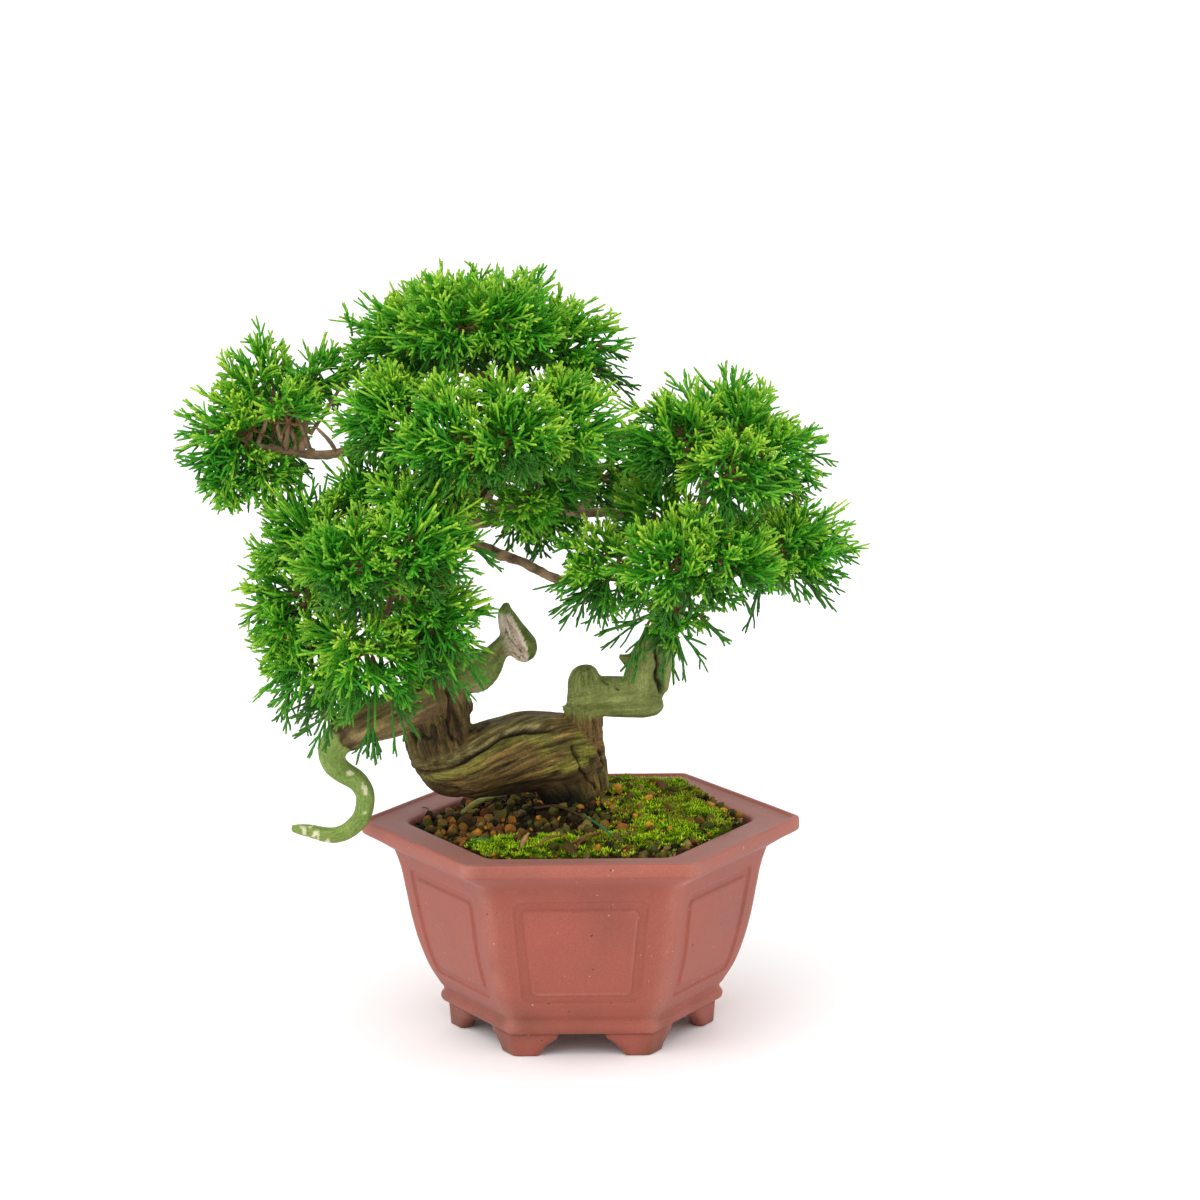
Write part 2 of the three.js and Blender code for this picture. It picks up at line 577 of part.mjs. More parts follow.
function insidePot(inset) {
  const levels = INSIDE.slice(2).reverse().map(([radius, z, round]) => [radius - inset, z, round]);
  return hexSolid([...levels, [MOUTH_RADIUS - inset, RIM_TOP + 30, MOUTH_ROUND]]);
}

function makeSoil(woodRoom) {
  const walls = INSIDE.slice(3).reverse().map(([, z, round]) => {
    const level = z === FLOOR_TOP ? z + SEAT_GAP : z;
    return hexRing(soilEdge(z), round, Math.min(level, SOIL_EDGE));
  });
  walls[walls.length - 1] = hexRing(soilEdge(SOIL_EDGE), MOUTH_ROUND, SOIL_EDGE - 0.8);
  const edge = soilEdge(SOIL_EDGE);
  const surface = SOIL_RING_SHARES.map((share) => hexRing(edge * share, MOUTH_ROUND * share, 0)
    .map((p) => p.setZ(soilHeight(p.x, p.y))));
  const crown = new THREE.Vector3(0, 0, soilHeight(0, 0));
  const bed = solidOf(stackRings([...walls, ...surface], { top: crown }));
  const draw = seededDraw(11);
  const grains = [];
  while (grains.length < GRAIN_COUNT) {
    const x = GRAIN_FIELD.x + GRAIN_FIELD.width * draw();
    const y = GRAIN_FIELD.y + GRAIN_FIELD.depth * draw();
    const faceReach = Math.max(Math.abs(x) * COS30 + Math.abs(y) * 0.5, Math.abs(y));
    if (faceReach < GRAIN_FIELD.reach && x - 0.35 * y < GRAIN_FIELD.mossLine) {
      grains.push(grainSolid(draw, x, y));
    }
  }
  const mossRoom = joined(MOSS_PATCHES.map((patch) => mossSolid(patch, SEAT_GAP)));
  const raw = joined([bed, ...grains]).subtract(makeScreenPocket()).subtract(woodRoom).subtract(mossRoom);
  return mainBody(raw);
}

// Shortest distance between two straight pieces
function segmentDistance(p1, q1, p2, q2) {
  const d1 = new THREE.Vector3().subVectors(q1, p1);
  const d2 = new THREE.Vector3().subVectors(q2, p2);
  const r = new THREE.Vector3().subVectors(p1, p2);
  const a = d1.dot(d1);
  const e = d2.dot(d2);
  const f = d2.dot(r);
  const c = d1.dot(r);
  const b = d1.dot(d2);
  const denominator = a * e - b * b;
  let s = denominator > 1e-9 ? THREE.MathUtils.clamp((b * f - c * e) / denominator, 0, 1) : 0;
  let t = (b * s + f) / e;
  if (t < 0) {
    t = 0;
    s = THREE.MathUtils.clamp(-c / a, 0, 1);
  } else if (t > 1) {
    t = 1;
    s = THREE.MathUtils.clamp((b - c) / a, 0, 1);
  }
  return p1.clone().addScaledVector(d1, s).distanceTo(p2.clone().addScaledVector(d2, t));
}

const CORD_CLEARANCE = 0.5;
const LENGTH_TRIES = [1, 1, 0.88, 0.78, 0.68];

// The slim twenty-sided core that a tuft's cords stand out of, turned and made uneven by the tuft's draw
function coreOf([name, x, y, z, rx, ry, rz]) {
  const lump = new THREE.IcosahedronGeometry(1, 0);
  lump.deleteAttribute("normal");
  lump.deleteAttribute("uv");
  const merged = mergeVertices(lump);
  const draw = seededDraw(name.charCodeAt(0) * 97 + name.charCodeAt(1));
  const turn = new THREE.Euler(draw() * TURN, draw() * TURN, draw() * TURN);
  const points = [];
  for (let i = 0; i < merged.attributes.position.count; i += 1) {
    const unit = new THREE.Vector3().fromBufferAttribute(merged.attributes.position, i).applyEuler(turn);
    const share = CORE_SHARE * (0.92 + 0.16 * draw());
    points.push(new THREE.Vector3(
      x + unit.x * rx * share,
      y + unit.y * ry * share,
      z + unit.z * rz * share,
    ));
  }
  const faces = [];
  const index = merged.index.array;
  for (let i = 0; i < index.length; i += 3) {
    faces.push([index[i], index[i + 1], index[i + 2]]);
  }
  return { points, faces, draw };
}

function insideCore(point, [, x, y, z, rx, ry, rz], extra) {
  const swell = CORE_SHARE * 1.08;
  const u = (point.x - x) / (rx * swell + extra);
  const v = (point.y - y) / (ry * swell + extra);
  const w = (point.z - z) / (rz * swell + extra);
  return u * u + v * v + w * w < 1;
}

// A cord is kept where it clears the wood, the pot and every other tuft
function cordIsClear(own, from, tip, limbSpans, placed) {
  for (const span of limbSpans) {
    if (segmentDistance(from, tip, span.a, span.b) < span.radius + CORD_RADIUS + CORD_CLEARANCE) {
      return false;
    }
  }
  const apart = 2 * CORD_RADIUS + CORD_CLEARANCE;
  for (const other of placed) {
    if (other.own !== own && segmentDistance(from, tip, other.from, other.tip) < apart) {
      return false;
    }
  }
  for (const tuft of TUFTS.filter(([name]) => name !== own)) {
    for (let k = 0; k <= 10; k += 1) {
      const point = new THREE.Vector3().lerpVectors(from, tip, k / 10);
      if (insideCore(point, tuft, CORD_RADIUS + CORD_CLEARANCE)) {
        return false;
      }
    }
  }
  return tip.z > CORD_FLOOR;
}

// One three-sided cord, grown to a point from the middle of each face of the core
function tuftSolid(tuft, limbSpans, placed) {
  const [name, x, y, z, rx, ry, rz] = tuft;
  const { points, faces, draw } = coreOf(tuft);
  const heart = new THREE.Vector3(x, y, z);
  const reachOf = new THREE.Vector3(rx, ry, rz);
  const skin = [];
  for (const face of faces) {
    const corners = face.map((i) => points[i]);
    const root = corners.reduce((sum, p) => sum.add(p), new THREE.Vector3()).divideScalar(3);
    const out = root.clone().sub(heart).divide(reachOf).normalize();
    let tip = null;
    for (const length of LENGTH_TRIES) {
      const stray = new THREE.Vector3(draw() - 0.5, draw() - 0.5, draw() - 0.5).multiplyScalar(0.4);
      const aim = out.clone().add(stray).normalize().multiply(reachOf);
      const end = aim.multiplyScalar(length * (0.88 + 0.14 * draw())).add(heart);
      if (cordIsClear(name, root, end, limbSpans, placed)) {
        tip = end;
        break;
      }
    }
    if (tip === null) {
      skin.push(face);
      continue;
    }
    placed.push({ own: name, from: root, tip });
    const start = points.length;
    corners.forEach((corner) => points.push(corner.clone().sub(root).setLength(CORD_RADIUS).add(root)));
    points.push(tip);
    for (let i = 0; i < 3; i += 1) {
      const j = (i + 1) % 3;
      skin.push([face[i], face[j], start + j], [face[i], start + j, start + i]);
      skin.push([start + i, start + j, start + 3]);
    }
  }
  return solidOf(bodyFrom(points, skin));
}

function makeTufts(limbSpans, woodRoom) {
  const placed = [];
  return TUFTS.map((tuft) => ({
    name: "spray_" + tuft[0],
    solid: mainBody(tuftSolid(tuft, limbSpans, placed).subtract(woodRoom)),
  }));
}

// Assembly

const wood = [...LIMBS, ...makeTwigs(LIMBS)];
const woodSolid = mainBody(joined(wood.map((limb) => limbSolid(limb))));
const woodRoom = joined(wood.map((limb) => limbSolid(limb, SEAT_GAP + 0.1)));
const limbSpans = wood.flatMap((limb) => {
  const samples = limbSamples(limb);
  const swell = 1 + (limb.lobes ?? 0);
  return samples.slice(1).map((sample, i) => ({
    a: samples[i].point,
    b: sample.point,
    radius: Math.max(samples[i].radius, sample.radius) * swell,
  }));
});

const bonsai = new THREE.Group();
bonsai.name = "chinese_juniper_bonsai";
bonsai.add(makeMesh("pot", makePot(), CLAY, 0.78));
bonsai.add(makeMesh("drain_screen", makeScreen(), SCREEN_BLACK, 0.6));
bonsai.add(makeMesh("soil", makeSoil(woodRoom), SOIL_BROWN, 0.95));
for (const patch of MOSS_PATCHES) {
  const cushion = mossSolid(patch, 0).intersect(insidePot(CUSHION_GAP)).subtract(woodRoom);
  bonsai.add(makeMesh(patch.name, mainBody(cushion), MOSS_GREEN, 0.95));
}
bonsai.add(makeMesh("trunk", woodSolid, WOOD_BROWN, 0.85));
makeTufts(limbSpans, woodRoom).forEach(({ name, solid }, i) => {
  bonsai.add(makeMesh(name, solid, LEAF_GREENS[i % LEAF_GREENS.length], 0.55));
});

// Stand the whole on z = 0, centred under its bounding box
const extent = new THREE.Box3().setFromObject(bonsai);
const middle = extent.getCenter(new THREE.Vector3());
bonsai.position.set(-middle.x, -middle.y, -extent.min.z);
bonsai.updateMatrixWorld(true);

export default bonsai;
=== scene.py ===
"""Chinese juniper bonsai in its hexagonal clay pot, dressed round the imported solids.

Lengths in the tables are millimetres from the pot's axis and the surface under its feet.
"""

import math

import bmesh
import bpy
import numpy as np
from bpy.props import FloatProperty, FloatVectorProperty, IntProperty, PointerProperty
from mathutils import Matrix, Vector


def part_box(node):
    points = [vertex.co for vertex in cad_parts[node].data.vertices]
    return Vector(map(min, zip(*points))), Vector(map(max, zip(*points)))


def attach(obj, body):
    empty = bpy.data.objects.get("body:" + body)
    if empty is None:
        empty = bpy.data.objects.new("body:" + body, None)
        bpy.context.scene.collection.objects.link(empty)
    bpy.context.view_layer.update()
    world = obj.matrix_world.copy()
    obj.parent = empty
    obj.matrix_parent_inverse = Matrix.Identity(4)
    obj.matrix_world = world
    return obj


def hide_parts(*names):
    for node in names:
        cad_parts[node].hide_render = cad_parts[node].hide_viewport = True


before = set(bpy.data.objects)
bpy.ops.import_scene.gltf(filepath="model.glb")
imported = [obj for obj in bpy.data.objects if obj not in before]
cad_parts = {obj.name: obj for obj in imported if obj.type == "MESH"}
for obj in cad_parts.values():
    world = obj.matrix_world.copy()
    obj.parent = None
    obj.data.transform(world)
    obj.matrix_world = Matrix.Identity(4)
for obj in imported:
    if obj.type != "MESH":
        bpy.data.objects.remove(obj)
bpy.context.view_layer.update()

bl_info = {
    "name": "Juniper bonsai in a clay pot",
    "version": (1, 0, 0),
    "blender": (4, 5, 0),
    "location": "3D View > Sidebar > Bonsai",
    "description": "Clay pot, grit and moss, old wood and foliage for a juniper bonsai",
    "category": "Object",
}

MM = 0.001
TURN = 2 * math.pi
COS30 = math.cos(math.radians(30))
BODY = "root"

POT_LOW, POT_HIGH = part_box("pot")
HOME = np.array([(POT_LOW.x + POT_HIGH.x) / 2, (POT_LOW.y + POT_HIGH.y) / 2, 0.0]) / MM

# The photographer's place, millimetres from the pot's axis, the way the camera looks, and its lens; the
# farthest that it sees is in metres
CAMERA_PLACE = (8.263, -1664.21, 503.99)
CAMERA_AHEAD = (0.000576, 0.982364, -0.186978)
CAMERA_RIGHT = (0.999965, -0.00213, -0.00811)
CAMERA_UP = (0.00836, 0.18697, 0.98233)
CAMERA_LENS = 118.9
CAMERA_SENSOR = 36.0
CAMERA_FAR = 30.0

# The floor's half size, and the way from the tree to its soft key light
FLOOR_HALF = 9000
KEY_FROM = (-0.3, -0.55, 0.78)

# Outside of the pot from the base up: corner radius, height, corner rounding
POT_BASE = [
    (57.5, 10.0, 3.0), (59.6, 10.2, 3.0), (60.9, 10.9, 3.0), (61.6, 12.0, 3.0), (61.8, 13.4, 3.0),
    (61.4, 14.6, 3.2), (60.6, 15.6, 3.6), (60.5, 16.4, 4.0), (61.1, 17.4, 5.0), (62.3, 18.6, 6.0),
]
POT_WALL = [
    (62.3, 18.6, 6.0), (67.0, 26.0, 7.0), (71.0, 35.5, 7.5), (74.8, 48.5, 8.0), (77.2, 61.0, 8.0),
    (79.5, 72.0, 7.5), (81.5, 78.5, 6.0),
]
POT_RIM = [
    (81.5, 78.5, 6.0), (84.2, 80.2, 5.0), (88.0, 82.4, 4.2), (92.0, 84.4, 3.6), (93.9, 85.4, 3.2),
    (94.7, 86.1, 3.0), (95.0, 87.0, 3.0), (95.0, 90.6, 3.0), (94.7, 91.4, 3.0), (94.1, 91.8, 3.0),
    (93.2, 91.8, 3.0), (92.6, 91.5, 3.0), (92.1, 90.9, 3.0), (91.4, 90.7, 3.0), (84.0, 90.6, 6.0),
    (77.4, 90.7, 9.5), (76.3, 90.4, 10.0), (75.7, 89.6, 10.0), (75.5, 88.2, 10.0),
]
POT_INSIDE = [(74.6, 80.0, 10.0), (67.5, 48.0, 10.0), (55.0, 20.5, 10.0), (50.0, 17.0, 10.0)]
# Rows at the rim's inner edge that stay free of the outside's wobble
RIM_EDGE_ROWS = 6
DRAIN_RADIUS = 9.0
FLOOR_TOP = 17.0
BASE_UNDERSIDE = 10.0

# The sunk band round each face's raised field: half widths at its top and bottom, and its heights
MOAT_DEPTH = 0.95
MOAT_OUTER = {"top": 28.7, "bottom": 25.0, "low": 25.0, "high": 72.6, "round": 4.0}
MOAT_INNER = {"top": 24.8, "bottom": 21.0, "low": 29.2, "high": 68.8, "round": 2.6}
# Heights between which the wall's rows are closer, for the band's edges
PANEL_EDGES = [(23.8, 26.2), (28.2, 30.4), (67.6, 70.0), (71.4, 73.8)]
# Columns from the middle of a face to its edge, closer at the band, and points round a corner
FACE_COLUMNS = np.concatenate([
    np.linspace(0, 0.62, 8), np.linspace(0.65, 0.745, 10), np.linspace(0.775, 0.875, 11),
    np.linspace(0.91, 1, 4),
])
CORNER_POINTS = 7
# Place along a face of a point that lies on a corner, far from every panel
OFF_FACE = 1e3

# Bracket feet: height and how far each wing runs along its face
FOOT_LEVELS = [
    (10.6, 19.2), (8.4, 19.2), (7.4, 18.4), (6.4, 16.6), (5.2, 15.0), (3.8, 13.4), (2.4, 12.2), (1.2, 11.3),
    (0.4, 10.8), (0.0, 10.4),
]
FOOT_CORNER = 58.6
FOOT_THICK = 6.0
# How far a foot's corner leans in for each millimetre down, and how much its sole is eased all round
FOOT_LEAN = 0.08
FOOT_EASE = 0.7

# Top of the mix: height at its edge, and the mound's height, middle and spread
SOIL_EDGE = 88.6
SOIL_MOUND = 9.5
MOUND_CENTRE = (16.0, 16.0)
MOUND_SPREAD = 34.0
# Side of the mix inside the pot: corner radius, height and corner rounding
MIX_SIDE = [(49.4, 17.4, 10), (54.4, 20.5, 10), (67.0, 48, 10), (74.1, 80, 10), (75.0, 87.6, 10)]

# Moss cushions: name, centre, half sizes, tilt and how far the outline wanders
MOSS_PATCHES = [
    ("moss_front", -8.0, -45.0, 37.0, 13.5, 0.06, 0.7),
    ("moss_right", 45.0, -14.0, 20.0, 25.0, -0.35, 2.1),
    ("moss_back", 33.0, 38.0, 25.0, 17.0, -0.3, 4.2),
]
# A cushion's height over the mix, how much its middle rises more, how deep its edge is sunk, how far from the
# axis it may reach, and its rings and sides
MOSS_RISE = 3.4
MOSS_CROWN = 0.4
MOSS_SINK = 1.6
CUSHION_REACH = 64.4
MOSS_RINGS = 26
MOSS_SIDES = 120
# Blades of a moss shoot, and light on each point of a blade
BLADES_PER_SHOOT = 5
BLADE_LIGHT = [0.4, 0.4, 0.95, 0.95, 1.25]
# Loose moss beside each cushion: middles and spreads of its areas
MOSS_STRAYS = {
    "moss_front": [(22, -34, 8, 8), (-14, -58, 20, 2.5), (-42, -48, 6, 5)],
    "moss_right": [(24, -6, 7, 7), (34, -40, 9, 5)],
    "moss_back": [(20, 22, 7, 7)],
}
# Share of the shoots that stray off their cushion, and share of these that grow in the areas
STRAY_SHARE = 0.34
STRAYS_IN_AREAS = 0.7

# Loose grains: how many are the largest and how many large, how close they lie, and shares in moss and green
LARGEST_GRAINS = 30
LARGE_GRAINS = 520
GRAIN_CLOSENESS = 0.72
GRAINS_IN_MOSS = 0.2
GREEN_GRAINS = 0.22
# Radii of the largest, the large and the small grains, breaks on each one, and tries at a place for it
LARGEST_RADII = (2.8, 3.7)
LARGE_RADII = (1.5, 2.9)
SMALL_RADII = (0.7, 1.4)
BREAKS = 11
TRIES_PER_GRAIN = 40
# Colours of the grains, the dark one that many grains near the trunk take as painted shadow of the trunk, and
# where that shadow lies
GRAIN_TONES = [
    (98, 60, 28), (146, 94, 38), (188, 126, 46), (88, 76, 34), (64, 48, 22), (36, 28, 14), (112, 94, 48),
    (124, 74, 34), (66, 68, 30), (104, 86, 40), (46, 38, 18), (84, 58, 26), (132, 108, 60), (30, 26, 14),
]
DARK_TONE = 5
TRUNK_SHADE = {"middle": (-16, 14), "radius": 22, "share": 0.4}
# How far from the pot's axis the ground reaches towards a face of the pot
GROUND_REACH = 64.2

# Litter on the mix: colour, and stations of x, y, height over the mix and radius
LITTER = [
    ((138, 98, 52), [(-18, -57, 4.6, 0.4), (-13, -52, 6.4, 0.75), (-8, -47, 6.0, 0.5)]),
    ((124, 84, 44), [(-5.8, -57, 4.8, 0.4), (1.2, -50.5, 6.8, 0.8), (8.8, -44, 6.4, 0.55)]),
    ((108, 72, 40), [(-2, -60, 3.8, 0.4), (-0.4, -56.5, 5.4, 0.6), (1.7, -51, 6.6, 0.5)]),
    ((176, 130, 88), [(-25, -54, 2.6, 0.3), (-23.6, -52.6, 6.0, 1.2), (-21.4, -51.4, 9.4, 0.4)]),
    ((44, 128, 74), [(1.6, -17, 4.4, 0.35), (7.6, -34, 6.4, 0.5), (14.2, -49, 6.0, 0.4)]),
    ((52, 134, 60), [(-46, -47, 4.6, 0.3), (-41.7, -50, 6.0, 0.45), (-37.6, -51, 5.2, 0.4)]),
    ((168, 172, 84), [(-52, 12, 2.0, 0.9), (-46, 22, 3.4, 1.5), (-40, 33, 3.0, 1.2), (-33, 38, 2.2, 0.6)]),
    ((96, 70, 50), [(-69.3, 22, 2.6, 0.3), (-66.5, 14, 4.2, 0.35), (-65.6, 5.5, 2.6, 0.3)]),
    ((84, 60, 36), [(-20, 4, 2.2, 0.6), (-10, -2, 3.8, 0.8), (0, -12, 2.6, 0.6)]),
]
# The mossy stone: x, y and size
STONE = (34, 50, 4.4)

# Old wood by limb: finish, lobes of its section and stations of x, y, z and radius
OLD_WOOD = {
    "butt": ("bark", 0.07, [
        (4, 20, 70, 10), (3, 19, 84, 10.4), (2, 18, 97, 11.2), (1, 14, 110, 11), (0.5, 10, 122, 9.8),
        (1.5, 7, 134, 8.2), (2.2, 5.4, 145, 7.6), (2.3, 4.6, 152, 7.3), (2.4, 4.2, 156, 5.4),
        (2.4, 4.2, 158, 2.8)]),
    "bole": ("striated", 0.1, [
        (4, 13, 118, 11.5), (-8, 9, 120, 16.5), (-22, 5, 120.5, 17), (-34, 2, 118.7, 16.2),
        (-47, 0, 116.3, 15.4), (-58, -2, 115.8, 13.2), (-64, -2.6, 116.5, 10), (-68, -3, 117.5, 5)]),
    "riser": ("flaky", 0.12, [
        (-55, -1, 109, 8), (-58.5, -1, 118, 12.8), (-60.2, 0, 131, 14), (-60.5, 2, 146, 14.4),
        (-62.5, 6, 161, 11.8), (-64.5, 11, 178, 9.8), (-64, 14, 195, 8.4), (-58, 16, 212, 7.4),
        (-48, 14, 228, 6.4), (-39, 12, 243, 5.2), (-35, 10, 260, 3.9), (-37, 8, 275, 3), (-39, 6, 291, 2.2),
        (-39.8, 6, 307, 1.1)]),
    "dead_arm": ("painted", 0.1, [
        (-58, -2, 147, 9), (-68, -6, 144, 9.2), (-78.7, -10, 141, 9.2), (-87.5, -15, 139, 8.8),
        (-95.5, -18, 136.2, 8.6), (-101, -19.5, 132.8, 7.4), (-104.6, -20, 128.6, 6.2),
        (-105.4, -20, 124.8, 5.7), (-104.3, -20, 120.8, 5.3), (-101, -20, 117.4, 4.8), (-95, -20, 113.4, 4.4),
        (-91.9, -20, 109, 4.2), (-91.4, -20, 104.8, 4.1), (-93.6, -20, 97.4, 3.9), (-99.2, -20, 92, 3.6),
        (-105, -20, 89.9, 3.5), (-110, -20, 90.3, 3.3), (-114.5, -20, 91.4, 3), (-119.5, -20, 92.4, 2.5),
        (-123.4, -20, 93, 1.5)]),
    "dead_neck": ("mossy", 0.08, [
        (-58, 3, 152, 8.5), (-50.2, 1.5, 155, 8.6), (-43.8, 0, 156.5, 8.3), (-38.6, -1, 160.5, 6.4),
        (-34.5, -1, 165.5, 4.6), (-30, -1, 170, 4.2)]),
    "dead_head": ("bare", 0.06, [
        (-30.5, -1, 187, 1), (-31, -1, 182.5, 3.6), (-29.5, -1, 177.7, 5), (-26.8, -1, 172, 6.2),
        (-24.1, -1, 167.2, 6.6), (-22.2, -1, 163.7, 5), (-21, -1, 161.6, 2.5)]),
    "knee": ("bark", 0.08, [(-15, 6, 114, 8.5), (-10, 9, 106, 9.8), (-5, 13, 97, 10), (-2, 16, 86, 9)]),
    "cut_stump": ("stripped", 0.06, [
        (1, 5.4, 143.5, 8), (10, 4, 144.6, 8.6), (20, 2, 144.8, 8.8), (28, 0.5, 144.6, 8.8),
        (32.5, 0, 144.6, 7.8), (35.5, 0, 145, 5)]),
    "split_strand": ("stripped", 0.05, [
        (39.4, -5, 174, 1.6), (38.1, -5.4, 166, 2.6), (37.2, -5, 158, 2.7), (36.3, -4, 152, 2.6),
        (35.9, -3, 148, 2.2)]),
    "bark_spike": ("bark", 0.0, [(-1, 6, 132, 3.2), (-4.6, 4, 137, 2.2), (-7.5, 3, 140.8, 0.6)]),
    "cut_spur": ("stripped", 0.0, [(28, 0, 158, 5.5), (22, -0.5, 160.5, 3.4), (16.8, -1, 163.2, 0.8)]),
    "right_riser": ("stripped", 0.08, [
        (28.5, 0, 147, 8.3), (29.5, 0, 157.5, 8.6), (32.5, 0, 165, 7.8), (36.5, -1, 173, 6.5),
        (39.5, -2, 181, 5.6), (41.5, -3.5, 187, 4.8), (46, -6, 193, 3.8), (55, -8, 196.5, 3.2),
        (66, -10, 201, 2.7), (78, -8, 204.6, 2.1)]),
}
# Thin branches: the tuft that each one carries, and stations of x, y, z and radius
BRANCHES = {
    "right_leader": ("d2", [
        (38.5, -2, 181, 4.6), (44, 5, 198, 3.6), (50, 8, 216, 3), (54, 6, 233, 2.4), (59, 2, 249, 1.8)]),
    "right_tip": ("e4", [(66, -10, 201, 2.7), (78, -8, 204.6, 2.1)]),
    "left_branch": ("a1", [
        (-43, 13, 247, 3.9), (-58, 10, 255, 3.5), (-75, 6, 256, 3.1), (-90, 2, 254, 2.8), (-106, 0, 251, 2.5),
        (-124, -2, 253, 2.1), (-138, -4, 257, 1.6)]),
    "top_left_branch": ("b1", [(-38, 7, 281, 3.2), (-47, 1, 287, 2.7), (-62, -4, 291, 2.2)]),
    "top_right_branch": ("b4", [
        (-37, 8, 274, 3.6), (-31, 5, 281, 2.9), (-23, 2, 288, 2.5), (-13, -0.5, 294, 2.1)]),
    "back_branch": ("e5", [
        (-52, 15, 220, 4.6), (-41, 17, 219, 3.6), (-30, 19, 224, 3.2), (-21, 20, 226, 3), (-9, 20, 224, 2.7),
        (3, 18, 222, 2.5), (16, 11, 223, 2.1)]),
    "middle_branch": ("e1", [
        (-62, 14, 215, 4.8), (-51, 10, 212, 3.4), (-39, 5, 209, 2.8), (-32, 0, 207, 2.6), (-24, -5, 205, 2.5),
        (-17, -9, 202, 2.4), (-6, -17, 199, 2)]),
    "front_branch": ("c2", [
        (-46, 13, 232, 4), (-46, 0, 239, 3.4), (-46, -16, 247, 2.9), (-46, -32, 254, 2.4),
        (-50, -43, 260, 2)]),
    "front_right_branch": ("c4", [
        (-46, -14, 246, 2.8), (-37, -28, 254, 2.2), (-22, -33, 260, 1.9), (-10, -35, 264, 1.8)]),
    "low_left_branch": ("f1", [
        (-65, 12, 186, 4.8), (-76, 3, 197, 3.8), (-88, -7, 207, 3), (-104, -12, 218, 2.1)]),
    "low_front_branch": ("f3", [
        (-65, 9, 176, 4.8), (-68, -8, 183, 3.9), (-74, -24, 192, 3.3), (-83, -38, 204, 2.4),
        (-89, -45, 210, 2)]),
    "low_branch": ("f5", [(-65, 6, 164, 5), (-76, -8, 168, 4), (-88, -14, 170, 3.2), (-104, -16, 166, 2.3)]),
}
# Bare twigs that show in the windows: stations of x, y, z and radius
BARE_TWIGS = [
    [(-113, 0, 252, 1.3), (-116, -3, 262, 1.1), (-119, -4, 271, 0.8)],
    [(-113, 0, 260, 1.2), (-106, -3, 270, 1.0), (-98, -5, 283, 0.8)],
    [(-124, -2, 254, 1.2), (-126, -4, 261, 1.0), (-126, -6, 268, 0.7)],
    [(-119, -2, 253, 1.2), (-120, -4, 260, 0.9), (-123, -6, 267, 0.7)],
    [(-102, 0, 252, 1.2), (-105, -5, 258, 1.0), (-110, -8, 264, 0.7)],
    [(-131, -3, 255, 1.2), (-137, -6, 250, 0.9), (-142, -9, 243, 0.6)],
    [(-62, -4, 291, 1.3), (-70, -8, 294, 1.0), (-79, -12, 300, 0.8)],
    [(-55, -1, 289, 1.2), (-58, -8, 296, 1.0), (-60, -14, 304, 0.7)],
]
# The tuft that the riser's own top reaches, and how slim wood has to be for a tuft's twig to leave it
RISER_TUFT = "b7"
SLIM_WOOD = 8.5
# Points round a limb and from station to station, rounds that even out fused wood, and thinning of branches
OLD_WOOD_SIDES, OLD_WOOD_STEPS = 28, 6
BRANCH_SIDES, BRANCH_STEPS = 10, 8
SMOOTHING_ROUNDS = 5
BRANCH_SLIMNESS = 0.86

# Turn of the grain round a limb in radians a millimetre, and how much longer than wide its fibres are
GRAIN_TWIST = 0.0148
GRAIN_STRETCH = 9.0

# No shoot ends outside these corners
FOLIAGE_LOW = (-170.0, -83.0, 98.0)
FOLIAGE_HIGH = (125.0, 83.0, 332.0)

# Foliage tufts: name, centre and half extents of the space that the cord tips fill
TUFTS = [
    ("a1", -147, -8, 258, 24, 22, 26), ("a2", -134, 6, 277, 24, 22, 26), ("a3", -116, -18, 265, 22, 22, 24),
    ("a4", -134, 34, 255, 24, 22, 24), ("a5", -107, 4, 286, 16, 16, 16),
    ("b1", -77, -4, 299, 26, 24, 24), ("b2", -54, -26, 308, 26, 24, 24), ("b3", -24, -24, 308, 26, 24, 24),
    ("b4", 0, -2, 297, 24, 24, 24), ("b5", -63, 34, 302, 26, 24, 24), ("b6", -29, 38, 304, 26, 24, 24),
    ("b7", -40, 6, 310, 24, 22, 22),
    ("c1", -82, -34, 271, 24, 24, 24), ("c2", -56, -56, 265, 26, 24, 26), ("c3", -25, -57, 267, 26, 24, 26),
    ("c4", 2, -36, 268, 26, 24, 24), ("c5", -7, -10, 243, 22, 22, 20),
    ("d1", 38, -22, 261, 24, 24, 26), ("d2", 65, 0, 264, 26, 24, 26), ("d3", 85, -4, 247, 24, 22, 24),
    ("d4", 62, 42, 253, 26, 24, 24), ("d5", 66, -38, 245, 26, 22, 22),
    ("e1", 6, -30, 205, 24, 24, 24), ("e2", 35, -52, 210, 24, 24, 26), ("e3", 64, -44, 212, 24, 22, 24),
    ("e4", 97, -8, 211, 26, 24, 22), ("e5", 31, -4, 226, 22, 22, 20), ("e6", 84, 36, 206, 26, 24, 22),
    ("e7", 40, -24, 181, 15, 15, 16),
    ("f1", -114, -16, 225, 24, 24, 24), ("f2", -125, -8, 192, 22, 22, 26), ("f3", -95, -53, 216, 26, 24, 26),
    ("f4", -62, -60, 223, 26, 24, 26), ("f5", -115, -16, 159, 22, 22, 26), ("f6", -86, -52, 165, 26, 24, 28),
    ("f7", -57, -50, 186, 24, 24, 26), ("f8", -96, 30, 189, 26, 24, 26), ("f9", -88, -20, 242, 22, 20, 18),
    ("g1", -17, 46, 219, 26, 24, 24), ("g2", -57, 56, 236, 26, 24, 26), ("g3", 21, 48, 236, 24, 24, 24),
]
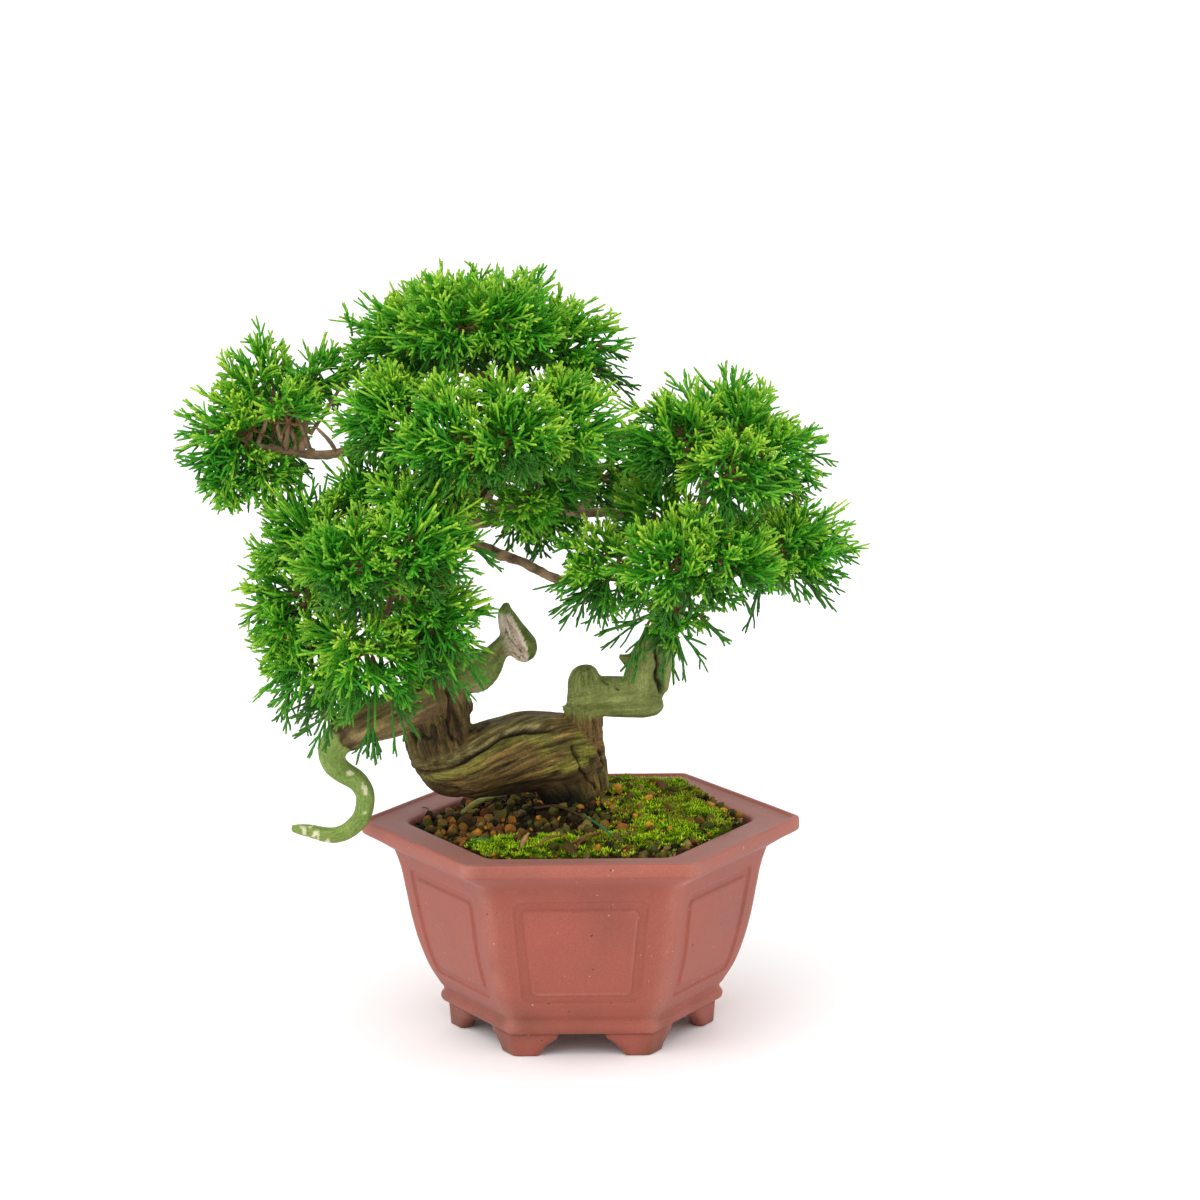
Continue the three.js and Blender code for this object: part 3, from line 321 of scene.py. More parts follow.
# Smaller clumps that close gaps between the tufts: the tuft that carries it, middle and half extents
CLUMPS = [
    ("f2", -124, -26, 177, 16, 14, 13), ("f6", -104, -34, 180, 15, 14, 12),
    ("f5", -128, -14, 171, 13, 12, 11), ("f1", -128, -18, 212, 14, 13, 12),
    ("a1", -148, -10, 240, 15, 13, 12), ("e2", 50, -46, 226, 15, 14, 13),
    ("c1", -78, -36, 284, 15, 12, 11), ("c2", -54, -44, 284, 16, 12, 11),
    ("c3", -28, -44, 284, 16, 12, 11), ("c4", -6, -36, 283, 14, 12, 11),
    ("c5", -24, -30, 230, 16, 11, 11), ("c2", -54, -40, 238, 17, 12, 11),
    ("f4", -72, -50, 243, 15, 12, 11), ("f4", -54, -44, 226, 14, 12, 11),
    ("a1", -130, -12, 243, 14, 12, 11),
]

# Long cords that stand out of the tufts: tuft, where they start, and where each ends
LONG_SHOOTS = [
    ("a1", (-135, -8, 254), [
        (-164, -12, 247), (-162, -5, 238), (-156, -9, 231), (-151, -3, 229), (-139, -14, 228),
        (-132, -6, 230), (-125, -8, 234)]),
    ("a1", (-153, -8, 263), [(-174, -12, 262), (-174, -5, 252), (-170, -9, 272)]),
    ("a2", (-133, 6, 284), [(-135, 2, 311), (-133, 9, 303), (-139, 5, 302), (-124, 11, 300), (-148, 0, 296)]),
    ("b1", (-94, -4, 302), [(-97, -8, 317)]),
    ("b2", (-50, -24, 319), [(-64, -28, 333), (-48, -21, 335), (-40, -25, 333)]),
    ("b7", (-19, 4, 316), [(-13, 0, 334), (-23, 7, 330), (-8, 3, 328)]),
    ("b4", (9, -4, 297), [(24, -8, 296), (22, -1, 290), (18, -5, 304)]),
    ("b4", (9, -4, 288), [(27, -8, 278), (26, -1, 271), (18, -5, 275)]),
    ("d1", (48, -22, 276), [(37, -26, 289), (45, -19, 288)]),
    ("d2", (65, 0, 273), [(61, -4, 290), (68, 3, 288), (75, -1, 285)]),
    ("d3", (94, -4, 252), [(111, -8, 247), (106, -1, 256), (100, -5, 263)]),
    ("e4", (99, -8, 214), [(118, -12, 223), (107, -5, 228), (120, -9, 203), (114, -3, 211)]),
    ("e4", (94, -8, 199), [(110, -12, 183), (106, -5, 184), (114, -9, 191)]),
    ("f3", (-44, -50, 220), [(-33, -54, 215), (-31, -47, 208)]),
    ("f6", (-104, -52, 151), [(-119, -56, 140), (-114, -49, 130), (-106, -53, 133)]),
    ("f7", (-86, -50, 146), [(-93, -54, 129), (-89, -47, 129), (-85, -51, 127), (-83, -45, 128)]),
    ("f7", (-78, -50, 157), [(-76, -54, 131), (-72, -47, 136), (-66, -51, 138), (-69, -45, 140)]),
    ("f7", (-62, -50, 174), [
        (-55, -54, 161), (-60, -47, 154), (-51, -51, 153), (-48, -45, 157), (-42, -56, 155)]),
    ("f7", (-48, -50, 176), [(-37, -54, 162), (-39, -47, 158)]),
    ("f5", (-123, -16, 152), [(-129, -20, 139), (-133, -13, 144), (-125, -17, 133)]),
    ("e7", (32, -24, 186), [(6, -28, 177), (9, -21, 169), (18, -25, 156)]),
    ("e7", (27, -24, 176), [(23, -28, 156)]),
    ("e3", (40, -30, 183), [(35, -34, 157), (40, -27, 155), (45, -31, 157), (55, -25, 160)]),
    ("e3", (51, -30, 186), [(64, -34, 174), (61, -27, 175)]),
    ("e6", (80, 34, 194), [(72, 28, 166), (78, 36, 172)]),
    ("e1", (4, -30, 197), [(-8, -34, 180), (-1, -27, 181), (-13, -31, 188)]),
    ("e1", (9, -30, 197), [(17, -34, 180), (13, -27, 183)]),
]

# Foliage cords: their sides, and where along a cord its blunt tip begins
CORD_SIDES = 3
BLUNT_FROM = 0.955
# Twigs of a tuft: how many, how far they reach, and how far their root lies off the tuft's middle
TWIGS_PER_TUFT = 8
TWIG_REACH = 0.46
ROOT_SHIFT = 0.5
# Shoots: radius of a usual tuft, share of them that ends near its skin, how near the middle of another tuft
# they may end, share that stays bare, how high they arch, and shoots of a clump
TUFT_RADIUS = 24
OUTER_SHARE = 0.66
NEAREST_OTHER = 0.5
WHIP_SHARE = 0.3
CORD_LIFT = 0.1
CLUMP_SHOOTS = 16
# How far side cords leave their fan, side cords of a bare shoot, and the share of the forks that grows
OUT_OF_FAN = 0.75
WHIP_CORDS = 4
FORKS_KEPT = 0.86
# How cords branch: first and last place along the parent, opening angle, length by the rest of the parent's,
# and least length
BRANCHING = {
    "sides": (0.18, 0.84, 0.6, 0.56, 4.4), "forks": (0.22, 0.78, 0.54, 0.42, 3.4),
    "whips": (0.15, 0.82, 0.42, 0.42, 3.0),
}
# Kinds of cord: rings, age and painted light at the root and what the tip gains, and thickness at both ends;
# rings of a twig
CORD_KINDS = {
    "shoots": (8, 0.12, 0.62, 1.12, 0.95), "sides": (5, 0.2, 0.58, 1.0, 0.95),
    "forks": (3, 0.28, 0.5, 0.95, 0.92), "whips": (5, 0.2, 0.5, 0.98, 0.92),
}
TWIG_RINGS = 9

# Openings in the tufts that show their branches from the front: x, z, half width, half height and plane y
WINDOWS = [(-122, 259, 17, 6.5, 0), (-20, 196, 12, 5, 20), (-84, 139, 12, 5, -14)]

# Lines of x and z on the front of the wood: the long groove, and cracks with half width, depth and plane y
GROOVE = [
    (-71, 114.4), (-65.7, 115.0), (-54.9, 117.8), (-45.6, 122.5), (-33.4, 129.6), (-24.2, 132.1),
    (-13.9, 131.8),
]
CRACKS = [
    ([(-3.8, 124.0), (-0.8, 117.4), (1.7, 110.7), (6.4, 102.7)], 0.55, 1.3, 8),
    ([(8.3, 120.6), (9.5, 116.6), (11.2, 112.6)], 0.5, 1.1, 10),
    ([(-56.8, 150.6), (-55.6, 144.0), (-56.2, 136.6), (-54.5, 129.6)], 0.7, 1.5, 2),
    ([(10.5, 153.0), (12.4, 150.4), (12.0, 147.6)], 0.3, 0.7, 0),
    ([(15.5, 150.4), (17.2, 149.2)], 0.3, 0.6, 0),
    ([(31.3, 174.0), (31.7, 166.7), (32.9, 160.1), (32.9, 154.0), (35.4, 148.7)], 0.75, 2.6, 0),
]

# Cut face of the dead head: which way it looks, and its depth as a share of the head's radius
CUT_FACE_WAY = (-0.47, -0.85, -0.22)
CUT_FACE_DEPTH = 0.66


# Numbers, noise and meshes


def lattice_value(x, y, z, seed):
    """A repeatable number from 0 to 1 for each whole-number point."""
    bits = x * 374761393 + y * 668265263 + z * 1440662683 + seed * 974634777
    bits = (bits ^ (bits >> 13)) * 1274126177
    bits = bits ^ (bits >> 16)
    return (bits & 0xFFFFFF) / float(0xFFFFFF)


def lumps(points, size, seed=0):
    """Smooth random heights from -1 to 1, with lumps of a size in the units of the points."""
    scaled = np.asarray(points, float) / size
    cell = np.floor(scaled).astype(np.int64)
    part = scaled - cell
    ease = part * part * (3 - 2 * part)
    total = np.zeros(len(scaled))
    for dx in (0, 1):
        for dy in (0, 1):
            for dz in (0, 1):
                weight = np.ones(len(scaled))
                for axis, step in enumerate((dx, dy, dz)):
                    weight = weight * (ease[:, axis] if step else 1 - ease[:, axis])
                total += weight * lattice_value(cell[:, 0] + dx, cell[:, 1] + dy, cell[:, 2] + dz, seed)
    return 2 * total - 1


def rough(points, size, layers=3, seed=0):
    """Lumps with finer lumps on them."""
    total = np.zeros(len(points))
    strength = 1.0
    for layer in range(layers):
        total += strength * lumps(points, size / 2**layer, seed + 17 * layer)
        strength *= 0.5
    return total / (2 - 0.5 ** (layers - 1))


def smooth_step(low, high, value):
    share = np.clip((value - low) / (high - low), 0, 1)
    return share * share * (3 - 2 * share)


def unit(vectors):
    return vectors / np.maximum(np.linalg.norm(vectors, axis=-1, keepdims=True), 1e-9)


def mixed(first, second, share):
    return np.asarray(first) * (1 - share[:, None]) + np.asarray(second) * share[:, None]


def mesh_piece(name, points, quads, tris=(), smooth=True):
    """A mesh object from points in millimetres round the pot's axis."""
    quads = np.asarray(quads, int).reshape(-1, 4)
    tris = np.asarray(tris, int).reshape(-1, 3)
    mesh = bpy.data.meshes.new(name)
    mesh.vertices.add(len(points))
    mesh.vertices.foreach_set("co", ((points + HOME) * MM).astype(np.float32).ravel())
    corners = np.concatenate([quads.ravel(), tris.ravel()]).astype(np.int32)
    starts = np.concatenate([np.arange(len(quads)) * 4, len(quads) * 4 + np.arange(len(tris)) * 3])
    mesh.loops.add(len(corners))
    mesh.loops.foreach_set("vertex_index", corners)
    mesh.polygons.add(len(starts))
    mesh.polygons.foreach_set("loop_start", starts.astype(np.int32))
    mesh.update(calc_edges=True)
    mesh.polygons.foreach_set("use_smooth", np.full(len(starts), smooth))
    piece = bpy.data.objects.new(name, mesh)
    bpy.context.scene.collection.objects.link(piece)
    return piece


def give_values(piece, name, values):
    layer = piece.data.attributes.new(name, "FLOAT", "POINT")
    layer.data.foreach_set("value", np.asarray(values, np.float32))


def give_colours(piece, name, colours):
    layer = piece.data.attributes.new(name, "FLOAT_COLOR", "POINT")
    full = np.ones((len(colours), 4), np.float32)
    full[:, :3] = colours
    layer.data.foreach_set("color", full.ravel())


def linear(colour):
    """A screen colour as the linear light that shaders take."""
    value = np.asarray(colour, float) / 255
    return np.where(value <= 0.04045, value / 12.92, ((value + 0.055) / 1.055) ** 2.4)


def shades(dark, light, share):
    """Colours between two screen colours, for shares that are cut off at 0 and 1."""
    return mixed(linear(dark), linear(light), np.clip(share, 0, 1))


def stained(tone, colour, share):
    """The tone turned towards a screen colour."""
    return mixed(tone, linear(colour), share)


def stack_faces(rings, count, closed=False):
    """Quads between rings of one point count."""
    bands = np.arange(rings if closed else rings - 1)
    i = np.arange(count)
    low = (bands[:, None] * count + i).ravel()
    low_next = (bands[:, None] * count + (i + 1) % count).ravel()
    above = ((bands + 1) % rings)[:, None] * count
    high = (above + i).ravel()
    high_next = (above + (i + 1) % count).ravel()
    return np.stack([low, low_next, high_next, high], axis=1)


def fan_faces(start, count, hub, flip):
    i = np.arange(count)
    a = start + i
    b = start + (i + 1) % count
    hubs = np.full(count, hub)
    return np.stack([hubs, b, a] if flip else [hubs, a, b], axis=1)


def capped(rings, first, last):
    """Points, quads and triangles of a closed skin over rings of one point count, with a hub at each end."""
    count = len(rings[0])
    points = np.concatenate([*rings, [first], [last]])
    hub = len(points) - 2
    tris = np.concatenate([fan_faces(0, count, hub, True), fan_faces(hub - count, count, hub + 1, False)])
    return points, stack_faces(len(rings), count), tris


def join_parts(name, parts, smooth=True):
    """One piece from several sets of points, quads and triangles."""
    points = []
    quads = []
    tris = []
    start = 0
    for part_points, part_quads, part_tris in parts:
        points.append(part_points)
        quads.append(np.asarray(part_quads, int).reshape(-1, 4) + start)
        tris.append(np.asarray(part_tris, int).reshape(-1, 3) + start)
        start += len(part_points)
    return mesh_piece(name, np.concatenate(points), np.concatenate(quads), np.concatenate(tris), smooth)


# Materials


class Nodes:
    """Short ways to add shader nodes to one material."""

    def __init__(self, name):
        self.material = bpy.data.materials.new(name)
        self.material.use_nodes = True
        self.tree = self.material.node_tree
        self.shader = self.tree.nodes["Principled BSDF"]

    def add(self, kind, **settings):
        node = self.tree.nodes.new(kind)
        for key, value in settings.items():
            setattr(node, key, value)
        return node

    def link(self, source, target):
        self.tree.links.new(source, target)
        return target

    def value(self, name):
        return self.add("ShaderNodeAttribute", attribute_name=name).outputs["Fac"]

    def colour(self, name):
        return self.add("ShaderNodeAttribute", attribute_name=name).outputs["Color"]

    def place(self):
        return self.add("ShaderNodeTexCoord").outputs["Object"]

    def noise(self, scale, detail=3.0, roughness=0.55, distortion=0.0, vector=None):
        node = self.add("ShaderNodeTexNoise")
        node.inputs["Scale"].default_value = scale
        node.inputs["Detail"].default_value = detail
        node.inputs["Roughness"].default_value = roughness
        node.inputs["Distortion"].default_value = distortion
        self.link(vector or self.place(), node.inputs["Vector"])
        return node.outputs["Fac"]

    def ramp(self, source, *stops):
        node = self.add("ShaderNodeValToRGB")
        elements = node.color_ramp.elements
        while len(elements) < len(stops):
            elements.new(0.5)
        for element, (at, colour) in zip(elements, stops):
            element.position = at
            element.color = (*colour, 1.0)
        self.link(source, node.inputs["Fac"])
        return node.outputs["Color"]

    def span(self, source, low, high, to_low=0.0, to_high=1.0):
        node = self.add("ShaderNodeMapRange")
        limits = {"From Min": low, "From Max": high, "To Min": to_low, "To Max": to_high}
        for socket, number in limits.items():
            node.inputs[socket].default_value = number
        self.link(source, node.inputs["Value"])
        return node.outputs["Result"]

    def mix(self, share, first, second, blend="MIX"):
        """Two colours mixed by a share: inputs 6 and 7 of the node take colours, and output 2 gives one."""
        node = self.add("ShaderNodeMix", data_type="RGBA", blend_type=blend)
        for socket, value in ((0, share), (6, first), (7, second)):
            if isinstance(value, bpy.types.NodeSocket):
                self.link(value, node.inputs[socket])
            else:
                node.inputs[socket].default_value = value if isinstance(value, float) else (*value, 1.0)
        return node.outputs[2]

    def math(self, operation, first, second=0.0):
        node = self.add("ShaderNodeMath", operation=operation)
        for socket, value in zip(node.inputs, (first, second)):
            if isinstance(value, (int, float)):
                socket.default_value = value
            else:
                self.link(value, socket)
        return node.outputs[0]

    def bump(self, height, strength, distance):
        node = self.add("ShaderNodeBump")
        node.inputs["Strength"].default_value = strength
        node.inputs["Distance"].default_value = distance
        self.link(height, node.inputs["Height"])
        self.link(node.outputs["Normal"], self.shader.inputs["Normal"])

    def finish(self, colour, roughness, specular=0.5):
        self.link(colour, self.shader.inputs["Base Color"])
        if isinstance(roughness, float):
            self.shader.inputs["Roughness"].default_value = roughness
        else:
            self.link(roughness, self.shader.inputs["Roughness"])
        self.shader.inputs["Specular IOR Level"].default_value = specular
        return self.material


def clay_material(settings):
    """Unglazed red clay with brown stains low down and painted shade in the panels' sunk bands, dusty arrises
    with painted highlights on the rim's side and the front panel's crests, a few dark and pale specks and a
    fine tooth.
    """
    n = Nodes("unglazed_clay")
    cloudy = n.noise(26, 4, 0.6)
    darker = [c * 0.86 for c in settings.clay]
    lighter = [min(1, c * 1.12) for c in settings.clay]
    fired = n.ramp(cloudy, (0.3, darker), (0.5, settings.clay), (0.75, lighter))
    # Brown stains low on the pot, and painted shade in the sunk band round each panel
    smudged = n.mix(n.value("stain_and_band_shade"), fired, settings.stain_and_band_shade)
    rimmed = n.mix(n.value("rim_top"), smudged, settings.rim_top)
    # Pale dusty arrises, and painted highlights on the rim's side and the front panel's crests
    dusty = n.mix(n.value("dust_and_highlight"), rimmed, settings.dust_and_highlight)
    grainy = n.mix(n.span(n.noise(1500, 2.0, 0.6), 0.3, 0.7), (0.44, 0.44, 0.44), (0.56, 0.56, 0.56))
    toothed = n.mix(1.0, dusty, grainy, "OVERLAY")
    dark = n.mix(n.span(n.noise(640, 0.0, 0.3), 0.855, 0.88), toothed, (0.06, 0.025, 0.02))
    pale_specks = n.math("MULTIPLY", n.span(n.noise(760, 0.0, 0.3), 0.85, 0.88), 0.5)
    whole = n.mix(pale_specks, dark, (0.7, 0.5, 0.4))
    tooth = n.math("ADD", n.noise(2400, 2.0), n.math("MULTIPLY", n.noise(300, 3.0), 1.4))
    n.bump(tooth, 0.22, 0.00025)
    n.shader.inputs["Sheen Weight"].default_value = 0.08
    n.shader.inputs["Sheen Roughness"].default_value = 0.45
    return n.finish(whole, n.span(cloudy, 0.3, 0.8, 0.56, 0.72), 0.45)


def painted_material(name, tooth_scale, tooth_depth, roughness, specular=0.3):
    """Colour worked out for each point of the piece, with a fine broken surface on top."""
    n = Nodes(name)
    base = n.colour("tone")
    fine = n.noise(tooth_scale, 4, 0.65)
    broken = n.mix(n.span(fine, 0.3, 0.7, 0.0, 0.6), base, (0.5, 0.5, 0.5), "OVERLAY")
    n.bump(fine, 0.5, tooth_depth)
    return n.finish(broken, roughness, specular)


def wood_material():
    """Colour and grain worked out for each point of the wood, with fine fibres and pits between them."""
    n = Nodes("old_wood_surface")
    grain = n.add("ShaderNodeAttribute", attribute_name="grain").outputs["Vector"]
    threads = n.noise(1.3, 4, 0.7, 0.3, grain)
    hairs = n.noise(3.2, 3, 0.6, 0.0, grain)
    pits = n.noise(900, 3, 0.6)
    base = n.colour("tone")
    strength = n.value("fibre")
    light = n.mix(n.span(threads, 0.36, 0.64), (0.2, 0.2, 0.2), (0.78, 0.78, 0.78))
    fibrous = n.mix(n.math("MULTIPLY", strength, 0.85), base, light, "OVERLAY")
    speckle = n.mix(n.span(pits, 0.34, 0.66), (0.32, 0.32, 0.32), (0.66, 0.66, 0.66))
    whole = n.mix(0.6, fibrous, speckle, "OVERLAY")
    fibres = n.math("ADD", threads, n.math("MULTIPLY", hairs, 0.5))
    n.bump(n.math("ADD", n.math("MULTIPLY", fibres, strength), pits), 0.8, 0.0006)
    return n.finish(whole, 0.78, 0.25)


def foliage_material(settings):
    """Scale leaves from deep green inside the tuft to yellow-green new tips, with painted shade deep in the
    tufts and on the cords that hang under them and painted light on their tops, fronts and outsides, on brown
    twigs.
    """
    n = Nodes("juniper_cords")
    fresh = [a * 0.5 + b * 0.5 for a, b in zip(settings.leaf_mid, settings.leaf_tip)]
    stops = [(0.0, settings.leaf_deep), (0.42, settings.leaf_mid), (0.76, fresh), (1.0, settings.leaf_tip)]
    # Deep green inside the tufts is partly painted shade, and the light greens partly painted light
    green = n.ramp(n.value("youth_and_light"), *stops)
    # Cords that hang under a tuft are darker and bluer: older leaves, and painted shade under the tuft
    hanging = n.mix(n.value("hanging"), green, settings.leaf_old_and_shaded)
    scales = n.noise(1000, 2.0, 0.6)
    varied = n.mix(n.span(scales, 0.36, 0.64), n.mix(0.42, hanging, (0.004, 0.02, 0.001)), hanging)
    bark = n.ramp(n.noise(700, 3.0, 0.7), (0.35, settings.twig_dark), (0.65, settings.twig))
    whole = n.mix(n.value("twig"), varied, bark)
    n.bump(scales, 0.6, 0.0004)
    return n.finish(whole, 0.56, 0.22)


def screen_material():
    n = Nodes("black_plastic")
    cloudy = n.noise(400, 2.0)
    n.bump(cloudy, 0.2, 0.0001)
    return n.finish(n.ramp(cloudy, (0.3, (0.015, 0.016, 0.016)), (0.7, (0.03, 0.031, 0.03))), 0.55, 0.4)


# Pot


def hex_points(radius, rounding, z, fractions, arc_steps):
    """One hexagonal ring with a soft corner on the x axis, and how far along its face each point is."""
    middle = radius - rounding / COS30
    apothem = middle * COS30 + rounding
    heading = np.arange(6)[:, None] * TURN / 6
    turn = heading + ((np.arange(arc_steps) + 0.5) / arc_steps - 0.5) * TURN / 6
    normal = heading + TURN / 12
    s = fractions * middle / 2
    x = np.hstack([
        middle * np.cos(heading) + rounding * np.cos(turn), apothem * np.cos(normal) - s * np.sin(normal),
    ])
    y = np.hstack([
        middle * np.sin(heading) + rounding * np.sin(turn), apothem * np.sin(normal) + s * np.cos(normal),
    ])
    along = np.hstack([np.full((6, arc_steps), OFF_FACE), np.tile(s, (6, 1))])
    return np.stack([x.ravel(), y.ravel(), np.full(x.size, z, float)], axis=1), along.ravel()


def hex_reach(x, y):
    """Distance from the axis to the hexagon face that a point would first meet."""
    return np.maximum.reduce([
        np.abs(x * math.cos(a) + y * math.sin(a)) for a in (TURN / 12, TURN / 4, 5 * TURN / 12)
    ])


def eased_profile(rows, step):
    """Rows of radius, height and rounding made closer, on a smooth curve through them."""
    rows = np.array(rows, float)
    spans = np.linalg.norm(np.diff(rows[:, :2], axis=0), axis=1)
    at = np.concatenate([[0], np.cumsum(spans)])
    slopes = np.gradient(rows, at, axis=0)
    count = max(2, round(at[-1] / step))
    out = []
    for place in np.linspace(0, at[-1], count + 1):
        i = min(np.searchsorted(at, place, side="right") - 1, len(spans) - 1)
        t = (place - at[i]) / spans[i]
        out.append(
            (2 * t**3 - 3 * t**2 + 1) * rows[i] + (t**3 - 2 * t**2 + t) * spans[i] * slopes[i]
            + (3 * t**2 - 2 * t**3) * rows[i + 1] + (t**3 - t**2) * spans[i] * slopes[i + 1]
        )
    return out


def panel_distance(s, z, panel):
    """How far a point of a face lies outside a panel's rounded outline, negative inside."""
    middle = (panel["low"] + panel["high"]) / 2
    half_height = (panel["high"] - panel["low"]) / 2
    half_width = panel["bottom"] + (panel["top"] - panel["bottom"]) * (z - panel["low"]) / (2 * half_height)
    across = np.abs(s) - half_width + panel["round"]
    up = np.abs(z - middle) - half_height + panel["round"]
    outside = np.hypot(np.maximum(across, 0), np.maximum(up, 0))
    return outside + np.minimum(np.maximum(across, up), 0) - panel["round"]


def closer_rows(rows, bands, parts):
    """The rows with more between them inside bands of height."""
    out = [rows[0]]
    for low, high in zip(rows[:-1], rows[1:]):
        middle = (low[1] + high[1]) / 2
        count = parts if any(start < middle < end for start, end in bands) else 1
        out += [low + (high - low) * step / count for step in range(1, count + 1)]
    return out


def make_foot(corner):
    """Points and faces of one bracket foot, with a wing along each of the two faces that meet there."""
    heading = corner * TURN / 6

    def wing_point(side, along, inward, tip, z):
        direction = heading + side * TURN / 3
        normal = heading + side * TURN / 12
        return (
            tip * math.cos(heading) + along * math.cos(direction) - inward * math.cos(normal),
            tip * math.sin(heading) + along * math.sin(direction) - inward * math.sin(normal), z,
        )

    rings = []
    for z, wing in FOOT_LEVELS:
        tip = FOOT_CORNER - (BASE_UNDERSIDE - min(z, BASE_UNDERSIDE)) * FOOT_LEAN
        edge = FOOT_EASE if z == 0 else 0.0
        half = [
            (wing - 0.7 - edge, FOOT_THICK - edge), (wing - edge, FOOT_THICK - 1.2), (wing - edge, 1.2),
            (wing - 0.8 - edge, 0.0), (wing * 0.66, 0.0), (wing * 0.4, 0.0), (4.2, 0.0), (2.4, 0.0),
            (1.0, 0.16),
        ]
        ring = [wing_point(1, along, inward + edge, tip, z) for along, inward in half]
        ring += [wing_point(-1, along, inward + edge, tip, z) for along, inward in reversed(half)]
        inner = tip - FOOT_THICK / COS30
        ring.append((inner * math.cos(heading), inner * math.sin(heading), z))
        rings.append(ring)
    middle = FOOT_CORNER - FOOT_THICK + FOOT_LEAN * BASE_UNDERSIDE
    hub = np.array([middle * math.cos(heading), middle * math.sin(heading), 0.0])
    points, quads, tris = capped(rings, hub + (0, 0, FOOT_LEVELS[0][0]), hub)
    return points, quads[:, ::-1], tris[:, ::-1]


def pot_skin():
    """Points and quads of the pot's body, with what its wear is worked out from for each point."""
    fractions = np.concatenate([-FACE_COLUMNS[:0:-1], FACE_COLUMNS])
    wall_rows = closer_rows(eased_profile(POT_WALL, 1.1), PANEL_EDGES, 3)
    rows = [*eased_profile(POT_BASE, 0.8)[:-1], *wall_rows[:-1], *POT_RIM, *POT_INSIDE]
    rings = [hex_points(radius, rounding, z, fractions, CORNER_POINTS) for radius, z, rounding in rows]
    even = np.linspace(-1, 1, len(fractions))
    for z in (FLOOR_TOP, BASE_UNDERSIDE):
        rings.append(hex_points(DRAIN_RADIUS, DRAIN_RADIUS * COS30 * 0.999, z, even, CORNER_POINTS))
    count = len(rings[0][0])
    points = np.concatenate([ring for ring, _ in rings])
    along = np.concatenate([places for _, places in rings])
    outward = unit(points * (1, 1, 0))
    outer = panel_distance(along, points[:, 2], MOAT_OUTER)
    inner = panel_distance(along, points[:, 2], MOAT_INNER)
    wall_count = len(rows) - len(POT_INSIDE) - RIM_EDGE_ROWS
    wall = np.repeat(np.arange(len(rings)) < wall_count, count)
    sunk = MOAT_DEPTH * smooth_step(0.2, -0.6, outer) * smooth_step(-0.9, 0.8, inner)
    wobble = 0.2 * rough(points, 16, 3, 3)
    pressed = points - outward * np.where(wall, sunk - wobble, 0.0)[:, None]
    return pressed, stack_faces(len(rings), count, closed=True), along, outward, outer, inner, wall


def arris_wear_and_highlight(points, along, outward, outer, inner):
    """Pale worn clay on the body's corners, and painted highlights on the front panel's crests: outside the
    band on its left, inside it on its right and bottom.
    """
    heading = np.arctan2(points[:, 1], points[:, 0])
    nearest_corner = np.round(heading * 6 / TURN) * TURN / 6
    off_corner = np.hypot(points[:, 0], points[:, 1]) * np.sin(heading - nearest_corner)
    front = smooth_step(-0.9, -0.98, outward[:, 1])
    # Painted highlights on the front panel's crests, on the sides where light would catch them
    highlit_crest_out = np.exp(-(((outer - 0.4) / 0.5) ** 2)) * smooth_step(-22, -25, along)
    right_or_low = np.maximum(smooth_step(19, 22, along) * (along < 100), smooth_step(33, 30, points[:, 2]))
    highlit_crest_in = np.exp(-(((inner + 0.8) / 0.6) ** 2)) * right_or_low
    wear_and_highlight = 0.3 * np.exp(-((off_corner / 3.6) ** 2)) + 0.42 * front * np.maximum(highlit_crest_out, highlit_crest_in)
    return (0.7 + 0.6 * rough(points, 9, 3, 6)) * wear_and_highlight


def make_pot(settings):
    points, quads, along, outward, outer, inner, wall = pot_skin()
    parts = [(points, quads, []), *(make_foot(corner) for corner in range(6))]
    piece = join_parts("clay_pot", parts)
    piece_points = np.concatenate([part[0] for part in parts])
    height = piece_points[:, 2]
    radius = hex_reach(piece_points[:, 0], piece_points[:, 1])
    low = smooth_step(27, 13, height) * 0.6 + smooth_step(8, 0, height) * 0.35
    patch = smooth_step(-0.45, 0.5, rough(piece_points, 22, 3, 5))
    feet = np.zeros(len(piece_points) - len(points))
    # Painted shade in the sunk band round each panel, added to the brown stains low on the pot
    band_shade = np.append(smooth_step(0.3, -0.9, outer) * smooth_step(-0.5, 0.4, inner) * wall, feet)
    give_values(piece, "stain_and_band_shade", np.clip(low * patch + 0.12 * band_shade * patch, 0, 0.75))
    # Pale worn corners, with painted highlights on the front panel's crests
    worn = np.append(wall * arris_wear_and_highlight(points, along, outward, outer, inner), feet)
    # Painted highlight on the rim's upright side, as if it faced the light
    lip = smooth_step(86.0, 87.0, height) * smooth_step(80.0, 81.0, radius)
    give_values(piece, "dust_and_highlight", np.clip(worn + 0.12 * lip, 0, 0.8))
    on_top = smooth_step(90.0, 90.5, height) * smooth_step(80.1, 79.2, radius)
    give_values(piece, "rim_top", on_top * (0.75 + 0.25 * rough(piece_points, 12, 2, 8)))
    piece.data.materials.append(clay_material(settings))
    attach(piece, BODY)
    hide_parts("pot")


# Growing mix


def soil_height(x, y):
    dx = (x - MOUND_CENTRE[0]) / MOUND_SPREAD
    dy = (y - MOUND_CENTRE[1]) / MOUND_SPREAD
    ripple = 0.5 * np.sin(x * 0.21 + 1.3) * np.cos(y * 0.19) + 0.35 * np.sin(x * 0.43 - y * 0.37)
    return SOIL_EDGE + SOIL_MOUND * np.exp(-(dx * dx + dy * dy) / 1.4) + ripple


def moss_edge(angle, wander):
    """How far out a cushion's wavy outline lies, as a share of its half sizes."""
    return 1 + 0.1 * np.sin(3 * angle + wander) + 0.06 * np.sin(5 * angle + 2 * wander)


